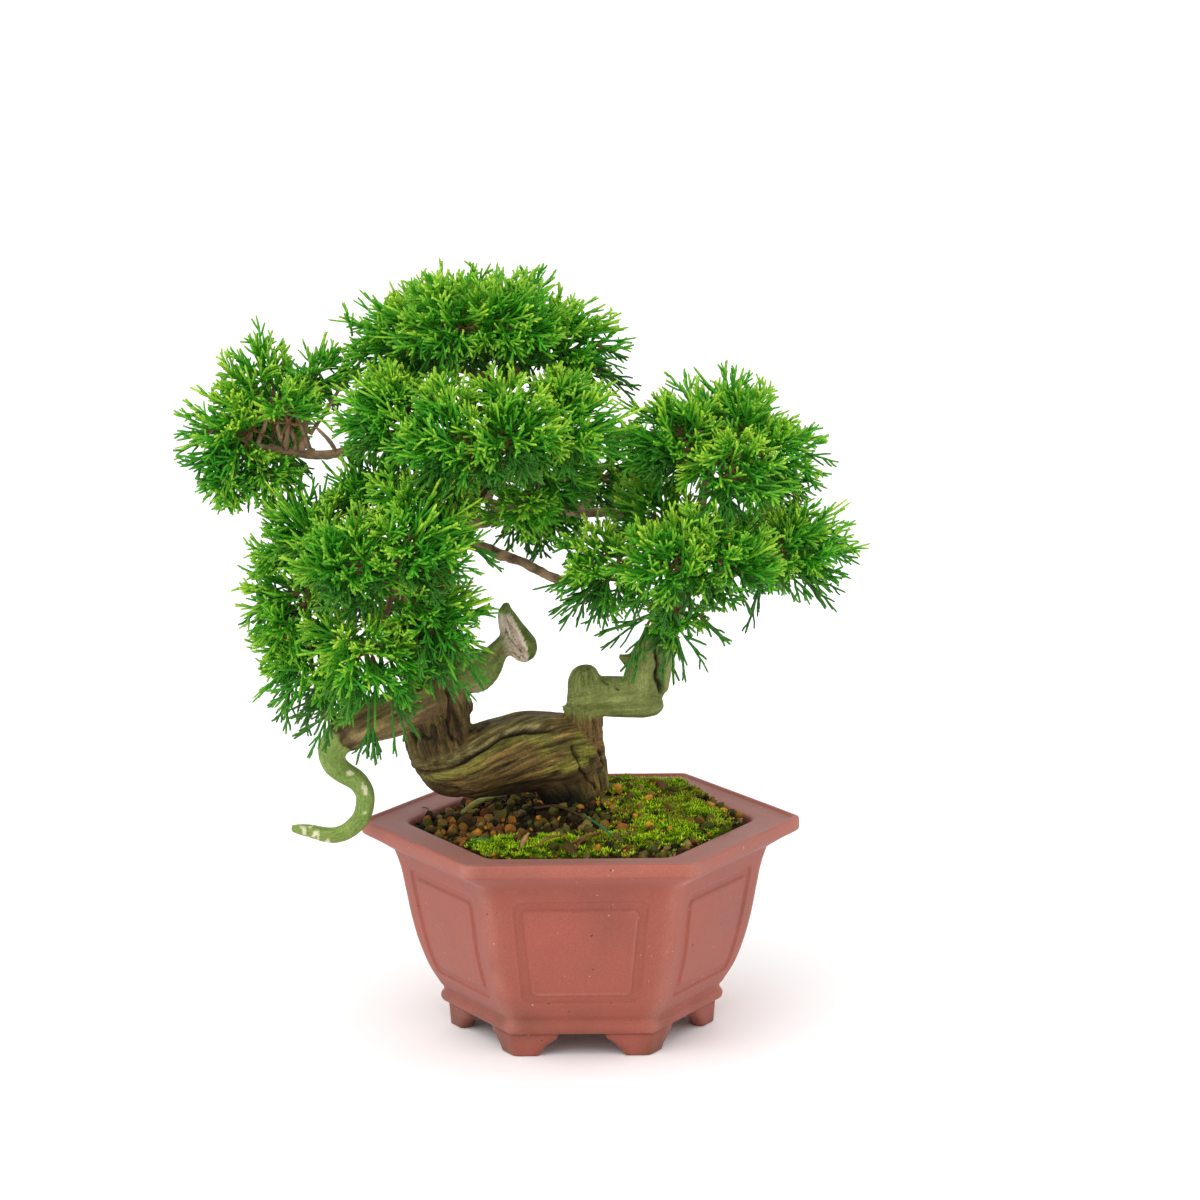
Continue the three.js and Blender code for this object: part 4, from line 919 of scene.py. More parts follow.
def moss_cover(x, y):
    """How far inside the nearest moss cushion a point is: over 0 inside."""
    best = np.full(np.shape(x), -9.0)
    for _, cx, cy, rx, ry, tilt, wander in MOSS_PATCHES:
        u = (x - cx) * math.cos(tilt) + (y - cy) * math.sin(tilt)
        v = -(x - cx) * math.sin(tilt) + (y - cy) * math.cos(tilt)
        edge = moss_edge(np.arctan2(v / ry, u / rx), wander)
        best = np.maximum(best, edge - np.hypot(u / rx, v / ry))
    return best


def unit_lump(subdivisions):
    """Corners and faces of a twenty-sided ball, split finer if asked."""
    ball = bmesh.new()
    bmesh.ops.create_icosphere(ball, subdivisions=subdivisions, radius=1.0)
    points = np.array([v.co for v in ball.verts])
    tris = np.array([[v.index for v in f.verts] for f in ball.faces])
    ball.free()
    return points, tris


def turned(points, rng):
    """The points under a random turn."""
    q = rng.normal(size=4)
    q /= np.linalg.norm(q)
    w, x, y, z = q
    matrix = np.array([
        [1 - 2 * (y * y + z * z), 2 * (x * y - z * w), 2 * (x * z + y * w)],
        [2 * (x * y + z * w), 1 - 2 * (x * x + z * z), 2 * (y * z - x * w)],
        [2 * (x * z - y * w), 2 * (y * z + x * w), 1 - 2 * (x * x + y * y)],
    ])
    return points @ matrix.T


def chipped(points, rng):
    """A lump with flat broken faces."""
    for _ in range(BREAKS):
        way = unit(rng.normal(size=3))
        over = np.maximum(points @ way - rng.uniform(0.42, 0.8), 0)
        points = points - over[:, None] * way
    return points


def make_grit_bed():
    """The filled mix up to its mounded top, dark with the painted shade of the hollows between the grains."""
    fractions = np.linspace(-1, 1, 24)
    corner_points = 4
    rings = []
    for radius, z, rounding in MIX_SIDE:
        rings.append(hex_points(radius, rounding, z, fractions, corner_points)[0])
    for share in np.linspace(0.985, 0.03, 40):
        ring = hex_points(MIX_SIDE[-1][0] * share, 10 * share, 0, fractions, corner_points)[0]
        ring[:, 2] = soil_height(ring[:, 0], ring[:, 1])
        ring[:, 2] += 0.7 * rough(ring * (1, 1, 0), 4.5, 3, 2)
        rings.append(ring)
    points, quads, tris = capped(rings, (0, 0, MIX_SIDE[0][1]), (0, 0, soil_height(0.0, 0.0)))
    bed = mesh_piece("grit_bed", points, quads, tris)
    # Very dark bed: painted shade of the hollows between the grains
    give_colours(bed, "tone", shades((14, 10, 4), (64, 48, 22), 0.5 + 0.5 * rough(points, 5, 3, 4)))
    bed.data.materials.append(painted_material("grit_bed_in_shade", 900, 0.0006, 0.85, 0.1))
    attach(bed, BODY)
    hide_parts("soil")


def place_for_grain(places, rng):
    """A free place for the next grain, its size and how far inside the moss it is, or nothing."""
    x, y = rng.uniform(-72, 72), rng.uniform(-64, 64)
    size = rng.uniform(*(LARGE_RADII if len(places) < LARGE_GRAINS else SMALL_RADII))
    size = rng.uniform(*LARGEST_RADII) if len(places) < LARGEST_GRAINS else size
    if hex_reach(x, y) > GROUND_REACH - size:
        return None
    cover = float(moss_cover(x, y))
    by_front_rim = y < -52 and -44 < x < 14
    if (cover > 0.02 or by_front_rim) and rng.random() > GRAINS_IN_MOSS:
        return None
    if any(math.hypot(px - x, py - y) < GRAIN_CLOSENESS * (ps + size) for px, py, ps in places):
        return None
    return x, y, size, cover


def make_grains(settings):
    """Broken grains of grit that lie on the bed."""
    rng = np.random.default_rng(21)
    large = unit_lump(2)
    small = unit_lump(1)
    tones = linear(GRAIN_TONES)
    parts = []
    colours = []
    places = []
    tries = 0
    while len(places) < settings.grain_count and tries < TRIES_PER_GRAIN * settings.grain_count:
        tries += 1
        free = place_for_grain(places, rng)
        if free is None:
            continue
        x, y, size, cover = free
        places.append((x, y, size))
        shape, faces = large if size > LARGE_RADII[0] else small
        lump = chipped(turned(shape, rng) * (1, rng.uniform(0.75, 1.0), rng.uniform(0.65, 0.95)), rng)
        lump = lump * (1 + 0.12 * lumps(lump + rng.uniform(0, 50), 0.5, 5))[:, None]
        lump = turned(lump, rng) * size * 1.14
        sits = soil_height(x, y) + 0.25 * size + rng.uniform(-0.3, 1.0)
        sits += MOSS_RISE * 0.5 if cover > 0.1 else 0.0
        parts.append((lump + (x, y, sits), [], faces))
        # Near the trunk many grains take the dark tone: painted shadow of the trunk
        shaded = math.dist((x, y), TRUNK_SHADE["middle"]) < TRUNK_SHADE["radius"]
        dark = shaded and rng.random() < TRUNK_SHADE["share"]
        tone = tones[DARK_TONE if dark else rng.integers(len(tones))] * rng.uniform(0.8, 1.5)
        mottled = tone * (1 + 0.4 * lumps(lump + rng.uniform(0, 90), 1.1, 6))[:, None]
        if rng.random() < GREEN_GRAINS:
            mottled = 0.5 * mottled + 0.5 * linear((84, 88, 26))
        colours.append(mottled)
    grains = join_parts("grit_grains", parts, smooth=False)
    give_colours(grains, "tone", np.clip(np.concatenate(colours), 0, 1))
    grains.data.materials.append(painted_material("grit_stone", 1400, 0.0004, 0.8, 0.12))
    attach(grains, BODY)


# Moss


def moss_rings(patch):
    """Rings of points over one cushion's dome, from its sunk edge to its middle."""
    _, cx, cy, rx, ry, tilt, wander = patch
    shares = np.sin(np.linspace(0.012, 1, MOSS_RINGS) * math.pi / 2)[::-1]
    angle = np.arange(MOSS_SIDES) * TURN / MOSS_SIDES
    edge = moss_edge(angle, wander)
    rings = []
    for share in shares:
        u = rx * edge * share * np.cos(angle)
        v = ry * edge * share * np.sin(angle)
        x = cx + u * math.cos(tilt) - v * math.sin(tilt)
        y = cy + u * math.sin(tilt) + v * math.cos(tilt)
        flat = np.stack([x, y, np.zeros(MOSS_SIDES)], axis=1)
        dome = MOSS_RISE * (1 - share**5) ** 0.5 + MOSS_CROWN
        hollow = smooth_step(0.0, 0.5, lumps(flat, 6.5, 7))
        z = soil_height(x, y) + dome * (0.8 + 0.35 * lumps(flat, 9, 3) - 0.7 * hollow)
        z += 0.9 * rough(flat, 3.4, 3, 9)
        z = np.where(share > 0.985, soil_height(x, y) - MOSS_SINK, z)
        rings.append(np.stack([x, y, z], axis=1))
    return np.array(rings)


def moss_cushion(patch):
    """Points, quads and triangles of one cushion, kept inside the pot."""
    rings = moss_rings(patch)
    reach = np.maximum(hex_reach(rings[..., 0], rings[..., 1]), 1e-6)
    rings[..., :2] *= np.minimum(1, CUSHION_REACH / reach)[..., None]
    cx, cy = patch[1:3]
    ground = soil_height(cx, cy)
    return capped(rings, (cx, cy, ground - MOSS_SINK), (cx, cy, ground + MOSS_RISE + MOSS_CROWN))


def moss_roots(patch, points, count, rng):
    """Indices of the cushion's points that shoots grow from, fewer of them in its hollows."""
    inner = np.arange(MOSS_SIDES * 2, len(points) - 2)
    hollow_places = 0.5 + 0.5 * lumps(points[inner] * (1, 1, 0), 6.5, 7)
    chance = np.clip(1.15 - 1.1 * hollow_places, 0.03, 1)
    spacing = np.cos(np.linspace(1, 0.012, MOSS_RINGS) * math.pi / 2) + 0.12
    off_middle = np.linalg.norm(points[inner][:, :2] - patch[1:3], axis=1)
    chance *= off_middle * np.repeat(spacing, MOSS_SIDES)[inner]
    return rng.choice(inner, count, p=chance / chance.sum())


def moss_shoot(root, rng):
    """Blades of one star of moss, each of five points, and its colour."""
    spin = rng.uniform(0, TURN)
    tall = rng.uniform(1.3, 3.1)
    tone = shades((54, 112, 4), (206, 236, 44), rng.random(1) ** 1.1)[0] * rng.uniform(0.75, 1.2)
    dry = float(smooth_step(0.05, 0.4, lumps(root[None] * (1, 1, 0), 10, 13))[0])
    tone = tone * (1 - 0.6 * dry) + 0.6 * dry * linear((140, 128, 46)) * rng.uniform(0.5, 1.2)
    blades = []
    for blade in range(BLADES_PER_SHOOT):
        angle = spin + blade * TURN / BLADES_PER_SHOOT
        out = np.array([math.cos(angle), math.sin(angle), 0.0])
        side = np.array([-math.sin(angle), math.cos(angle), 0.0]) * (0.13 + 0.06 * tall)
        tip = root + out * tall * 0.62 + (0, 0, tall * rng.uniform(0.45, 1.0))
        mid = root + out * tall * 0.3 + (0, 0, tall * 0.45)
        blades.append(np.stack([root - side * 0.6, root + side * 0.6, mid + side, mid - side, tip]))
    return blades, tone


def make_moss(settings):
    rng = np.random.default_rng(5)
    for patch in MOSS_PATCHES:
        name, cx, cy = patch[:3]
        cushion = moss_cushion(patch)
        points = cushion[0]
        cushion_tone = shades((26, 34, 4), (92, 112, 14), 0.5 + 0.5 * rough(points, 5, 3, 12))
        blades = []
        blade_tone = []
        for index in moss_roots(patch, points, settings.moss_shoots // len(MOSS_PATCHES), rng):
            root = points[index] + rng.uniform(-0.7, 0.7, 3) * (1, 1, 0)
            if rng.random() < STRAY_SHARE:
                area = MOSS_STRAYS[name][rng.integers(len(MOSS_STRAYS[name]))]
                if rng.random() < STRAYS_IN_AREAS:
                    root[:2] = area[:2] + np.array(area[2:]) * rng.normal(size=2)
                else:
                    root[:2] = (cx, cy) + (root[:2] - (cx, cy)) * rng.uniform(1.05, 1.3)
                root[2] = soil_height(root[0], root[1]) + rng.uniform(0.3, 1.6)
            if hex_reach(root[0], root[1]) > GROUND_REACH:
                continue
            shoot, tone = moss_shoot(root, rng)
            blades += shoot
            blade_tone += [tone] * len(shoot)
        base = np.arange(len(blades))[:, None] * len(BLADE_LIGHT)
        leaves = (np.concatenate(blades), base + np.array([[0, 1, 2, 3]]), base + np.array([[3, 2, 4]]))
        piece = join_parts(name + "_cushion", [cushion, leaves])
        leaf_tone = np.repeat(blade_tone, len(BLADE_LIGHT), axis=0)
        leaf_tone *= np.tile(BLADE_LIGHT, len(blades))[:, None]
        give_colours(piece, "tone", np.clip(np.concatenate([cushion_tone, leaf_tone]), 0, 1))
        piece.data.materials.append(painted_material("moss_leaf", 1600, 0.0003, 0.8, 0.08))
        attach(piece, BODY)
        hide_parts(name)


def make_litter():
    """Twigs, fallen cords and a peeled root that lie on the mix, and a mossy stone at the back."""
    parts = []
    colours = []
    for colour, stations in LITTER:
        lying = [(x, y, soil_height(x, y) + over, radius) for x, y, over, radius in stations]
        points, quads, tris = limb_tube(lying, 7, 6, 0.12)
        parts.append((points, quads, tris))
        shade = 0.85 + 0.4 * rough(points, 1.6, 2, 91)
        colours.append(np.tile(linear(colour), (len(points), 1)) * shade[:, None])
    rng = np.random.default_rng(77)
    shape, faces = unit_lump(3)
    x, y, size = STONE
    stone = chipped(shape, rng) * size * (1.1, 1, 0.9) + (x, y, soil_height(x, y) + 2.6)
    parts.append((stone, [], faces))
    colours.append(shades((70, 62, 36), (132, 128, 54), 0.5 + 0.8 * rough(stone, 2.4, 3, 92)))
    piece = join_parts("litter", parts)
    give_colours(piece, "tone", np.clip(np.concatenate(colours), 0, 1))
    piece.data.materials.append(painted_material("litter_surface", 1500, 0.0004, 0.8))
    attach(piece, BODY)


# Wood


def curve_through(stations, per_span):
    """Points, radii and headings of a smooth run through the stations, spaced by the roots of the gaps."""
    rows = np.array(stations, float)
    middle = rows[:, :3]
    ends = np.concatenate([[2 * middle[0] - middle[1]], middle, [2 * middle[-1] - middle[-2]]])
    out = []
    radii = []
    for span in range(len(middle) - 1):
        p0, p1, p2, p3 = ends[span : span + 4]
        d0 = max(np.linalg.norm(p1 - p0) ** 0.5, 1e-4)
        d1 = max(np.linalg.norm(p2 - p1) ** 0.5, 1e-4)
        d2 = max(np.linalg.norm(p3 - p2) ** 0.5, 1e-4)
        t1 = ((p1 - p0) / d0 - (p2 - p0) / (d0 + d1) + (p2 - p1) / d1) * d1
        t2 = ((p2 - p1) / d1 - (p3 - p1) / (d1 + d2) + (p3 - p2) / d2) * d1
        last = span == len(middle) - 2
        for t in np.linspace(0, 1, per_span + 1)[: None if last else -1]:
            out.append(
                p1 + t1 * t + (-3 * p1 + 3 * p2 - 2 * t1 - t2) * t**2 + (2 * p1 - 2 * p2 + t1 + t2) * t**3
            )
            radii.append(rows[span, 3] + (rows[span + 1, 3] - rows[span, 3]) * t)
    points = np.array(out)
    return points, np.array(radii), unit(np.gradient(points, axis=0))


def carried_frames(headings):
    """Across and side directions along a run, carried without twisting."""
    first = np.array([0, 0, 1.0]) if abs(headings[0][2]) < 0.8 else np.array([1.0, 0, 0])
    across = unit(np.cross(headings[0], first))
    frames = []
    for heading in headings:
        across = unit(across - heading * np.dot(across, heading))
        frames.append(across)
    across = np.array(frames)
    return across, np.cross(headings, across)


def limb_tube(stations, sides, per_span, lobes):
    """A closed tube of lobed section round a run of stations."""
    centres, radii, headings = curve_through(stations, per_span)
    across, side = carried_frames(headings)
    angle = np.arange(sides) * TURN / sides
    at = np.arange(len(centres))[:, None] / per_span
    swell = 1 + lobes * (0.6 * np.cos(3 * angle + 0.9 * at) + 0.4 * np.cos(5 * angle - 0.7 * at))
    reach = radii[:, None] * swell
    rings = (
        centres[:, None] + across[:, None] * (np.cos(angle) * reach)[..., None]
        + side[:, None] * (np.sin(angle) * reach)[..., None]
    )
    return capped(rings, centres[0], centres[-1])


def fused(name, parts, detail):
    """One skin over overlapping closed parts, with faces of a size in metres."""
    rough_piece = join_parts(name + "_rough", parts)
    modifier = rough_piece.modifiers.new("fuse", "REMESH")
    modifier.mode = "VOXEL"
    modifier.voxel_size = detail
    graph = bpy.context.evaluated_depsgraph_get()
    mesh = bpy.data.meshes.new_from_object(rough_piece.evaluated_get(graph))
    bpy.data.objects.remove(rough_piece)
    count = len(mesh.vertices)
    flat = np.zeros(count * 3, np.float32)
    mesh.vertices.foreach_get("co", flat)
    edges = np.zeros(len(mesh.edges) * 2, np.int32)
    mesh.edges.foreach_get("vertices", edges)
    corners = np.zeros(len(mesh.loops), np.int32)
    mesh.loops.foreach_get("vertex_index", corners)
    totals = np.zeros(len(mesh.polygons), np.int32)
    mesh.polygons.foreach_get("loop_total", totals)
    starts = np.cumsum(totals) - totals
    quads = corners[starts[totals == 4][:, None] + np.arange(4)]
    tris = corners[starts[totals == 3][:, None] + np.arange(3)]
    bpy.data.meshes.remove(mesh)
    return flat.reshape(-1, 3).astype(float) / MM - HOME, edges.reshape(-1, 2), quads, tris


def relaxed(points, edges, rounds):
    """Points moved half way to the mean of their neighbours in each round."""
    degree = np.bincount(edges.ravel(), minlength=len(points))[:, None]
    for _ in range(rounds):
        total = np.zeros_like(points)
        np.add.at(total, edges[:, 0], points[edges[:, 1]])
        np.add.at(total, edges[:, 1], points[edges[:, 0]])
        points = points + 0.5 * (total / np.maximum(degree, 1) - points)
    return points


def point_normals(points, quads, tris):
    faces = np.concatenate([quads[:, :3], quads[:, [0, 2, 3]], tris])
    a, b, c = (points[faces[:, k]] for k in range(3))
    normals = np.zeros_like(points)
    across = np.cross(b - a, c - a)
    for k in range(3):
        np.add.at(normals, faces[:, k], across)
    return unit(normals)


def wood_places(points, limbs):
    """For each limb: the points' gaps to its surface, and their run: distance along, angle and radius."""
    result = {}
    for name, (_, _, stations) in limbs.items():
        centres, radii, headings = curve_through(stations, 8)
        across, side = carried_frames(headings)
        reached = np.concatenate([[0], np.cumsum(np.linalg.norm(np.diff(centres, axis=0), axis=1))])
        gap = np.full(len(points), 1e9)
        nearest = np.zeros(len(points), int)
        for k, (centre, radius) in enumerate(zip(centres, radii)):
            distance = np.linalg.norm(points - centre, axis=1) - radius
            closer = distance < gap
            gap = np.where(closer, distance, gap)
            nearest = np.where(closer, k, nearest)
        offset = points - centres[nearest]
        angle = np.arctan2(np.sum(offset * side[nearest], axis=1), np.sum(offset * across[nearest], axis=1))
        along = reached[nearest] + np.sum(offset * headings[nearest], axis=1)
        result[name] = (gap, (along, angle, radii[nearest]))
    return result


def grain_points(run, stretch, seed):
    """Places in the wood's own grain, so that noise on them runs along the limb."""
    along, angle, radius = run
    spiral = angle + GRAIN_TWIST * along
    return np.stack([np.cos(spiral) * radius + seed * 3.7, np.sin(spiral) * radius, along / stretch], axis=1)


def from_line(points, line):
    """How far points are from a line of x and z, as seen from the front."""
    flat = points[:, [0, 2]]
    best = np.full(len(points), 1e3)
    for first, last in zip(np.array(line[:-1]), np.array(line[1:])):
        step = last - first
        share = np.clip((flat - first) @ step / (step @ step), 0, 1)
        best = np.minimum(best, np.linalg.norm(flat - first - share[:, None] * step, axis=1))
    return best


def weathered_wood(points, run):
    """Long fibres and furrows under an olive film, with tan scars."""
    g = grain_points(run, 9.0, 1)
    broad = lumps(g, 5.2, 21)
    narrow = lumps(g, 2.0, 22)
    fine = lumps(grain_points(run, 12.0, 2), 0.9, 23)
    worn = smooth_step(-0.3, 0.3, lumps(points, 13, 26))
    furrow = smooth_step(0.09, 0.0, np.abs(lumps(g, 4.4, 24))) * worn
    height = 0.55 * broad + 0.35 * narrow + 0.15 * fine - 0.8 * furrow
    film = smooth_step(-0.3, 0.45, rough(points, 12, 3, 25) - 0.1)
    tone = shades((122, 98, 52), (128, 126, 48), film)
    scar = smooth_step(0.3, 0.6, rough(points * (0.6, 1, 1.2), 9, 3, 27))
    tone = stained(tone, (142, 106, 62), 0.6 * scar)
    light = np.clip(0.5 + 0.55 * narrow + 0.4 * fine + 0.15 * broad, 0, 1)
    tone = tone * (0.14 + 1.5 * light[:, None] ** 1.15)
    return height, stained(tone, (28, 20, 8), 0.9 * furrow)


def striated_wood(points, run):
    """The leaning bole: weathered wood with one long groove, a pale ridge over it and dark bark above."""
    height, tone = weathered_wood(points, run)
    x, y, z = points.T
    line_x, line_z = np.array(GROOVE).T
    wander = 0.35 * lumps(points, 5, 28)
    above = 0.87 * (z - np.interp(x, line_x, line_z)) + wander
    front = smooth_step(5, 1, y) * smooth_step(-73, -69, x) * smooth_step(-8, -14, x)
    groove = np.exp(-((above / 0.75) ** 2)) * front
    ridge = smooth_step(0.6, 1.5, above) * smooth_step(6.2, 4.8, above) * front
    lip = smooth_step(-0.5, -1.1, above) * smooth_step(-5.5, -2.5, above) * front
    bark = smooth_step(5.2, 6.4, above) * front
    plates = lumps(points, 1.8, 29)
    height = height * (1 - 0.7 * np.maximum(ridge, lip)) - 1.8 * groove + ridge + bark * (0.5 + 0.6 * plates)
    streak = np.clip(0.5 + 0.8 * lumps(grain_points(run, 10.0, 9), 1.0, 30), 0, 1)
    # Painted highlight along the ridge's crest, over its pale streaks
    crest_top = 3.4 - 1.5 * smooth_step(-36, -26, x)
    crest_highlight = smooth_step(0.6, 1.1, above) * smooth_step(0, -1.4, above - crest_top) * smooth_step(-66, -56, x)
    tone = mixed(tone, shades((84, 72, 36), (150, 138, 84), streak), 0.8 * ridge)
    tone = stained(tone, (190, 180, 124), 0.6 * crest_highlight * front * smooth_step(0.35, 0.75, streak))
    tone = mixed(tone, shades((112, 108, 44), (158, 154, 74), streak), 0.7 * lip)
    tone = mixed(tone, shades((44, 34, 20), (112, 92, 54), 0.5 + plates), 0.8 * bark)
    tone = stained(tone, (26, 20, 9), 0.95 * groove)
    shaded = smooth_step(111, 103, z) * smooth_step(-46, -30, x)
    tone = tone * (1 - 0.88 * shaded[:, None])
    # Painted shade on the bole's underside
    under = smooth_step(0.25, 0.95, np.sin(run[1]))
    return height, stained(tone, (52, 38, 22), 0.6 * under)


def flaky_wood(points, run):
    """Living bark: short dark plates with lifted edges, rusty and olive in places."""
    g = grain_points(run, 2.4, 3)
    plates = lumps(g, 3.4, 31)
    step = smooth_step(-0.08, 0.12, plates) + 0.7 * smooth_step(0.3, 0.42, plates)
    fibres = lumps(grain_points(run, 8.0, 4), 1.1, 32)
    crack = smooth_step(0.15, 0.02, np.abs(plates))
    height = step + 0.3 * fibres - 0.9 * crack - 0.6
    tone = shades((48, 35, 18), (136, 112, 58), 0.32 + 0.5 * fibres)
    green = smooth_step(0.05, 0.6, rough(points, 9, 3, 33))
    tone = stained(tone, (116, 112, 46), 0.6 * green)
    rust = smooth_step(0.35, 0.6, lumps(points, 3.2, 34))
    tone = stained(tone, (92, 54, 32), 0.45 * rust)
    return height, stained(tone, (30, 21, 12), 0.85 * crack)


def bark_wood(points, run):
    """The foot of the trunk: upright furrows, mossy low down and stripped where it turns into the stump."""
    height, tone = weathered_wood(points, run)
    g = grain_points(run, 7.0, 10)
    split = smooth_step(0.07, 0.0, np.abs(lumps(g, 5.6, 35)))
    damp = smooth_step(108, 94, points[:, 2])
    tone = stained(tone, (122, 92, 56), np.full(len(points), 0.35))
    tone = stained(tone, (76, 80, 30), 0.55 * damp)
    tone = stained(tone, (30, 22, 12), 0.85 * split)
    shaded = smooth_step(112, 100, points[:, 2]) * smooth_step(8, -3, points[:, 0])
    tone = tone * (1 - 0.92 * shaded[:, None])
    bare_height, bare_tone = stripped_wood(points, run)
    stripped = smooth_step(134, 141, points[:, 2] + 2.5 * lumps(points, 4, 36))
    height = (height - 0.9 * split) * (1 - stripped) + bare_height * stripped
    return height, mixed(tone, bare_tone, stripped)


def painted_wood(points, run):
    """Dead arm: fibrous and tan to its broken end, then smooth under olive preservative with worn specks."""
    g = grain_points(run, 8.0, 5)
    fibres = lumps(g, 1.6, 41)
    along = run[0] + 2.2 * lumps(points, 4.0, 46)
    coated = smooth_step(49, 51, along)
    broken = smooth_step(44, 49, along) * (1 - coated)
    height = 0.7 * fibres + 0.5 * lumps(g, 3.4, 42) + 0.5 + 0.8 * broken * lumps(points, 2.4, 47)
    height = height * (1 - coated) + coated * (0.12 * fibres + 0.2 * lumps(points, 4.0, 48))
    raw = shades((84, 68, 38), (172, 150, 98), 0.45 + 0.7 * fibres)
    raw = stained(raw, (124, 122, 62), 0.6 * smooth_step(0.0, 0.5, rough(points, 9, 2, 43)))
    raw = stained(raw, (120, 94, 70), 0.5 * smooth_step(0.1, 0.5, rough(points, 11, 2, 49)))
    # Painted shade at the broken end, where the raw wood steps down to the coat
    raw = stained(raw, (46, 32, 18), 0.8 * broken)
    coat = shades((104, 130, 56), (138, 160, 82), 0.5 + 0.5 * rough(points, 5, 3, 44))
    spots = smooth_step(0.42, 0.52, rough(points * (1, 1, 0.55), 2.4, 2, 45) + 0.3 * lumps(points, 9, 50))
    coat = stained(coat, (222, 214, 180), 0.9 * spots)
    return height, mixed(raw, coat, coated)


def mossy_wood(points, run):
    """Swollen neck of the dead head: tan below, under a green film above and to the right."""
    g = grain_points(run, 5.0, 6)
    height = 0.4 * lumps(g, 2.4, 51) + 0.2 * lumps(points, 1.2, 52)
    tone = shades((76, 100, 34), (146, 156, 88), 0.5 + 0.6 * rough(points, 5, 3, 53))
    bare = smooth_step(155, 149, points[:, 2] + 2 * lumps(points, 4, 55))
    bare *= smooth_step(-38, -43, points[:, 0])
    tone = stained(tone, (190, 178, 132), 0.75 * bare)
    return height, stained(tone, (92, 74, 50), 0.6 * smooth_step(0.35, 0.6, lumps(g, 3, 54)))


def cut_face_share(points, radius):
    """How much of each point of the dead head lies on its sawn face, and how far it stands over that face."""
    stations = np.array(OLD_WOOD["dead_head"][2])[:, :3]
    start = stations[0]
    axis = unit(stations[-1] - start)
    offset = points - start
    offset = offset - (offset @ axis)[:, None] * axis
    over = offset @ unit(np.array(CUT_FACE_WAY)) - CUT_FACE_DEPTH * radius
    below_tip = smooth_step(183.5, 181, points[:, 2])
    return smooth_step(-0.35, -0.05, over) * below_tip, np.maximum(over, 0)


def bare_wood(points, run):
    """Dead head: a pale sawn face split along its grain, and a mossy back and rim."""
    g = grain_points(run, 6.0, 7)
    radius = run[2]
    face, over = cut_face_share(points, radius)
    split = smooth_step(0.07, 0.0, np.abs(lumps(g, 3.2, 61) + 0.1)) * face
    pale = shades((176, 150, 122), (240, 224, 202), 0.6 + 0.6 * lumps(g, 1.2, 63))
    pale = stained(pale, (64, 46, 30), 0.9 * split)
    moss = shades((46, 70, 18), (118, 132, 62), 0.5 + 0.7 * rough(points, 3.2, 3, 64))
    tip = smooth_step(177, 183, points[:, 2])
    moss = stained(moss, (122, 136, 78), 0.7 * tip)
    height = 0.25 * lumps(g, 1.8, 62) - 0.4 * split - over * np.clip(9 / radius, 1, 5)
    return height, mixed(moss, pale, face)


def stripped_wood(points, run):
    """Stump and right leader: smooth grey-green wood, softly streaked, with a few brown scars."""
    g = grain_points(run, 8.0, 8)
    wrinkle = lumps(g, 2.2, 71)
    broad = rough(points, 8, 3, 74)
    height = 0.25 * wrinkle + 0.35 * lumps(g, 5.5, 73) + 0.25 * lumps(points, 6, 76)
    tone = shades((96, 106, 48), (160, 168, 98), 0.5 + 0.5 * broad + 0.45 * wrinkle)
    shaded = smooth_step(12, 26, points[:, 0]) * smooth_step(176, 160, points[:, 2])
    tone = tone * (1 - 0.16 * shaded[:, None])
    scar = smooth_step(0.4, 0.7, rough(points, 5, 3, 75))
    return height, stained(tone, (112, 88, 54), 0.55 * scar)


# How each finish is worked out, and how strongly fine fibres show in it
FINISHES = {
    "bark": (bark_wood, 1.0), "striated": (striated_wood, 1.0), "flaky": (flaky_wood, 0.9),
    "painted": (painted_wood, 0.45), "mossy": (mossy_wood, 0.4), "bare": (bare_wood, 0.5),
    "stripped": (stripped_wood, 0.35),
}


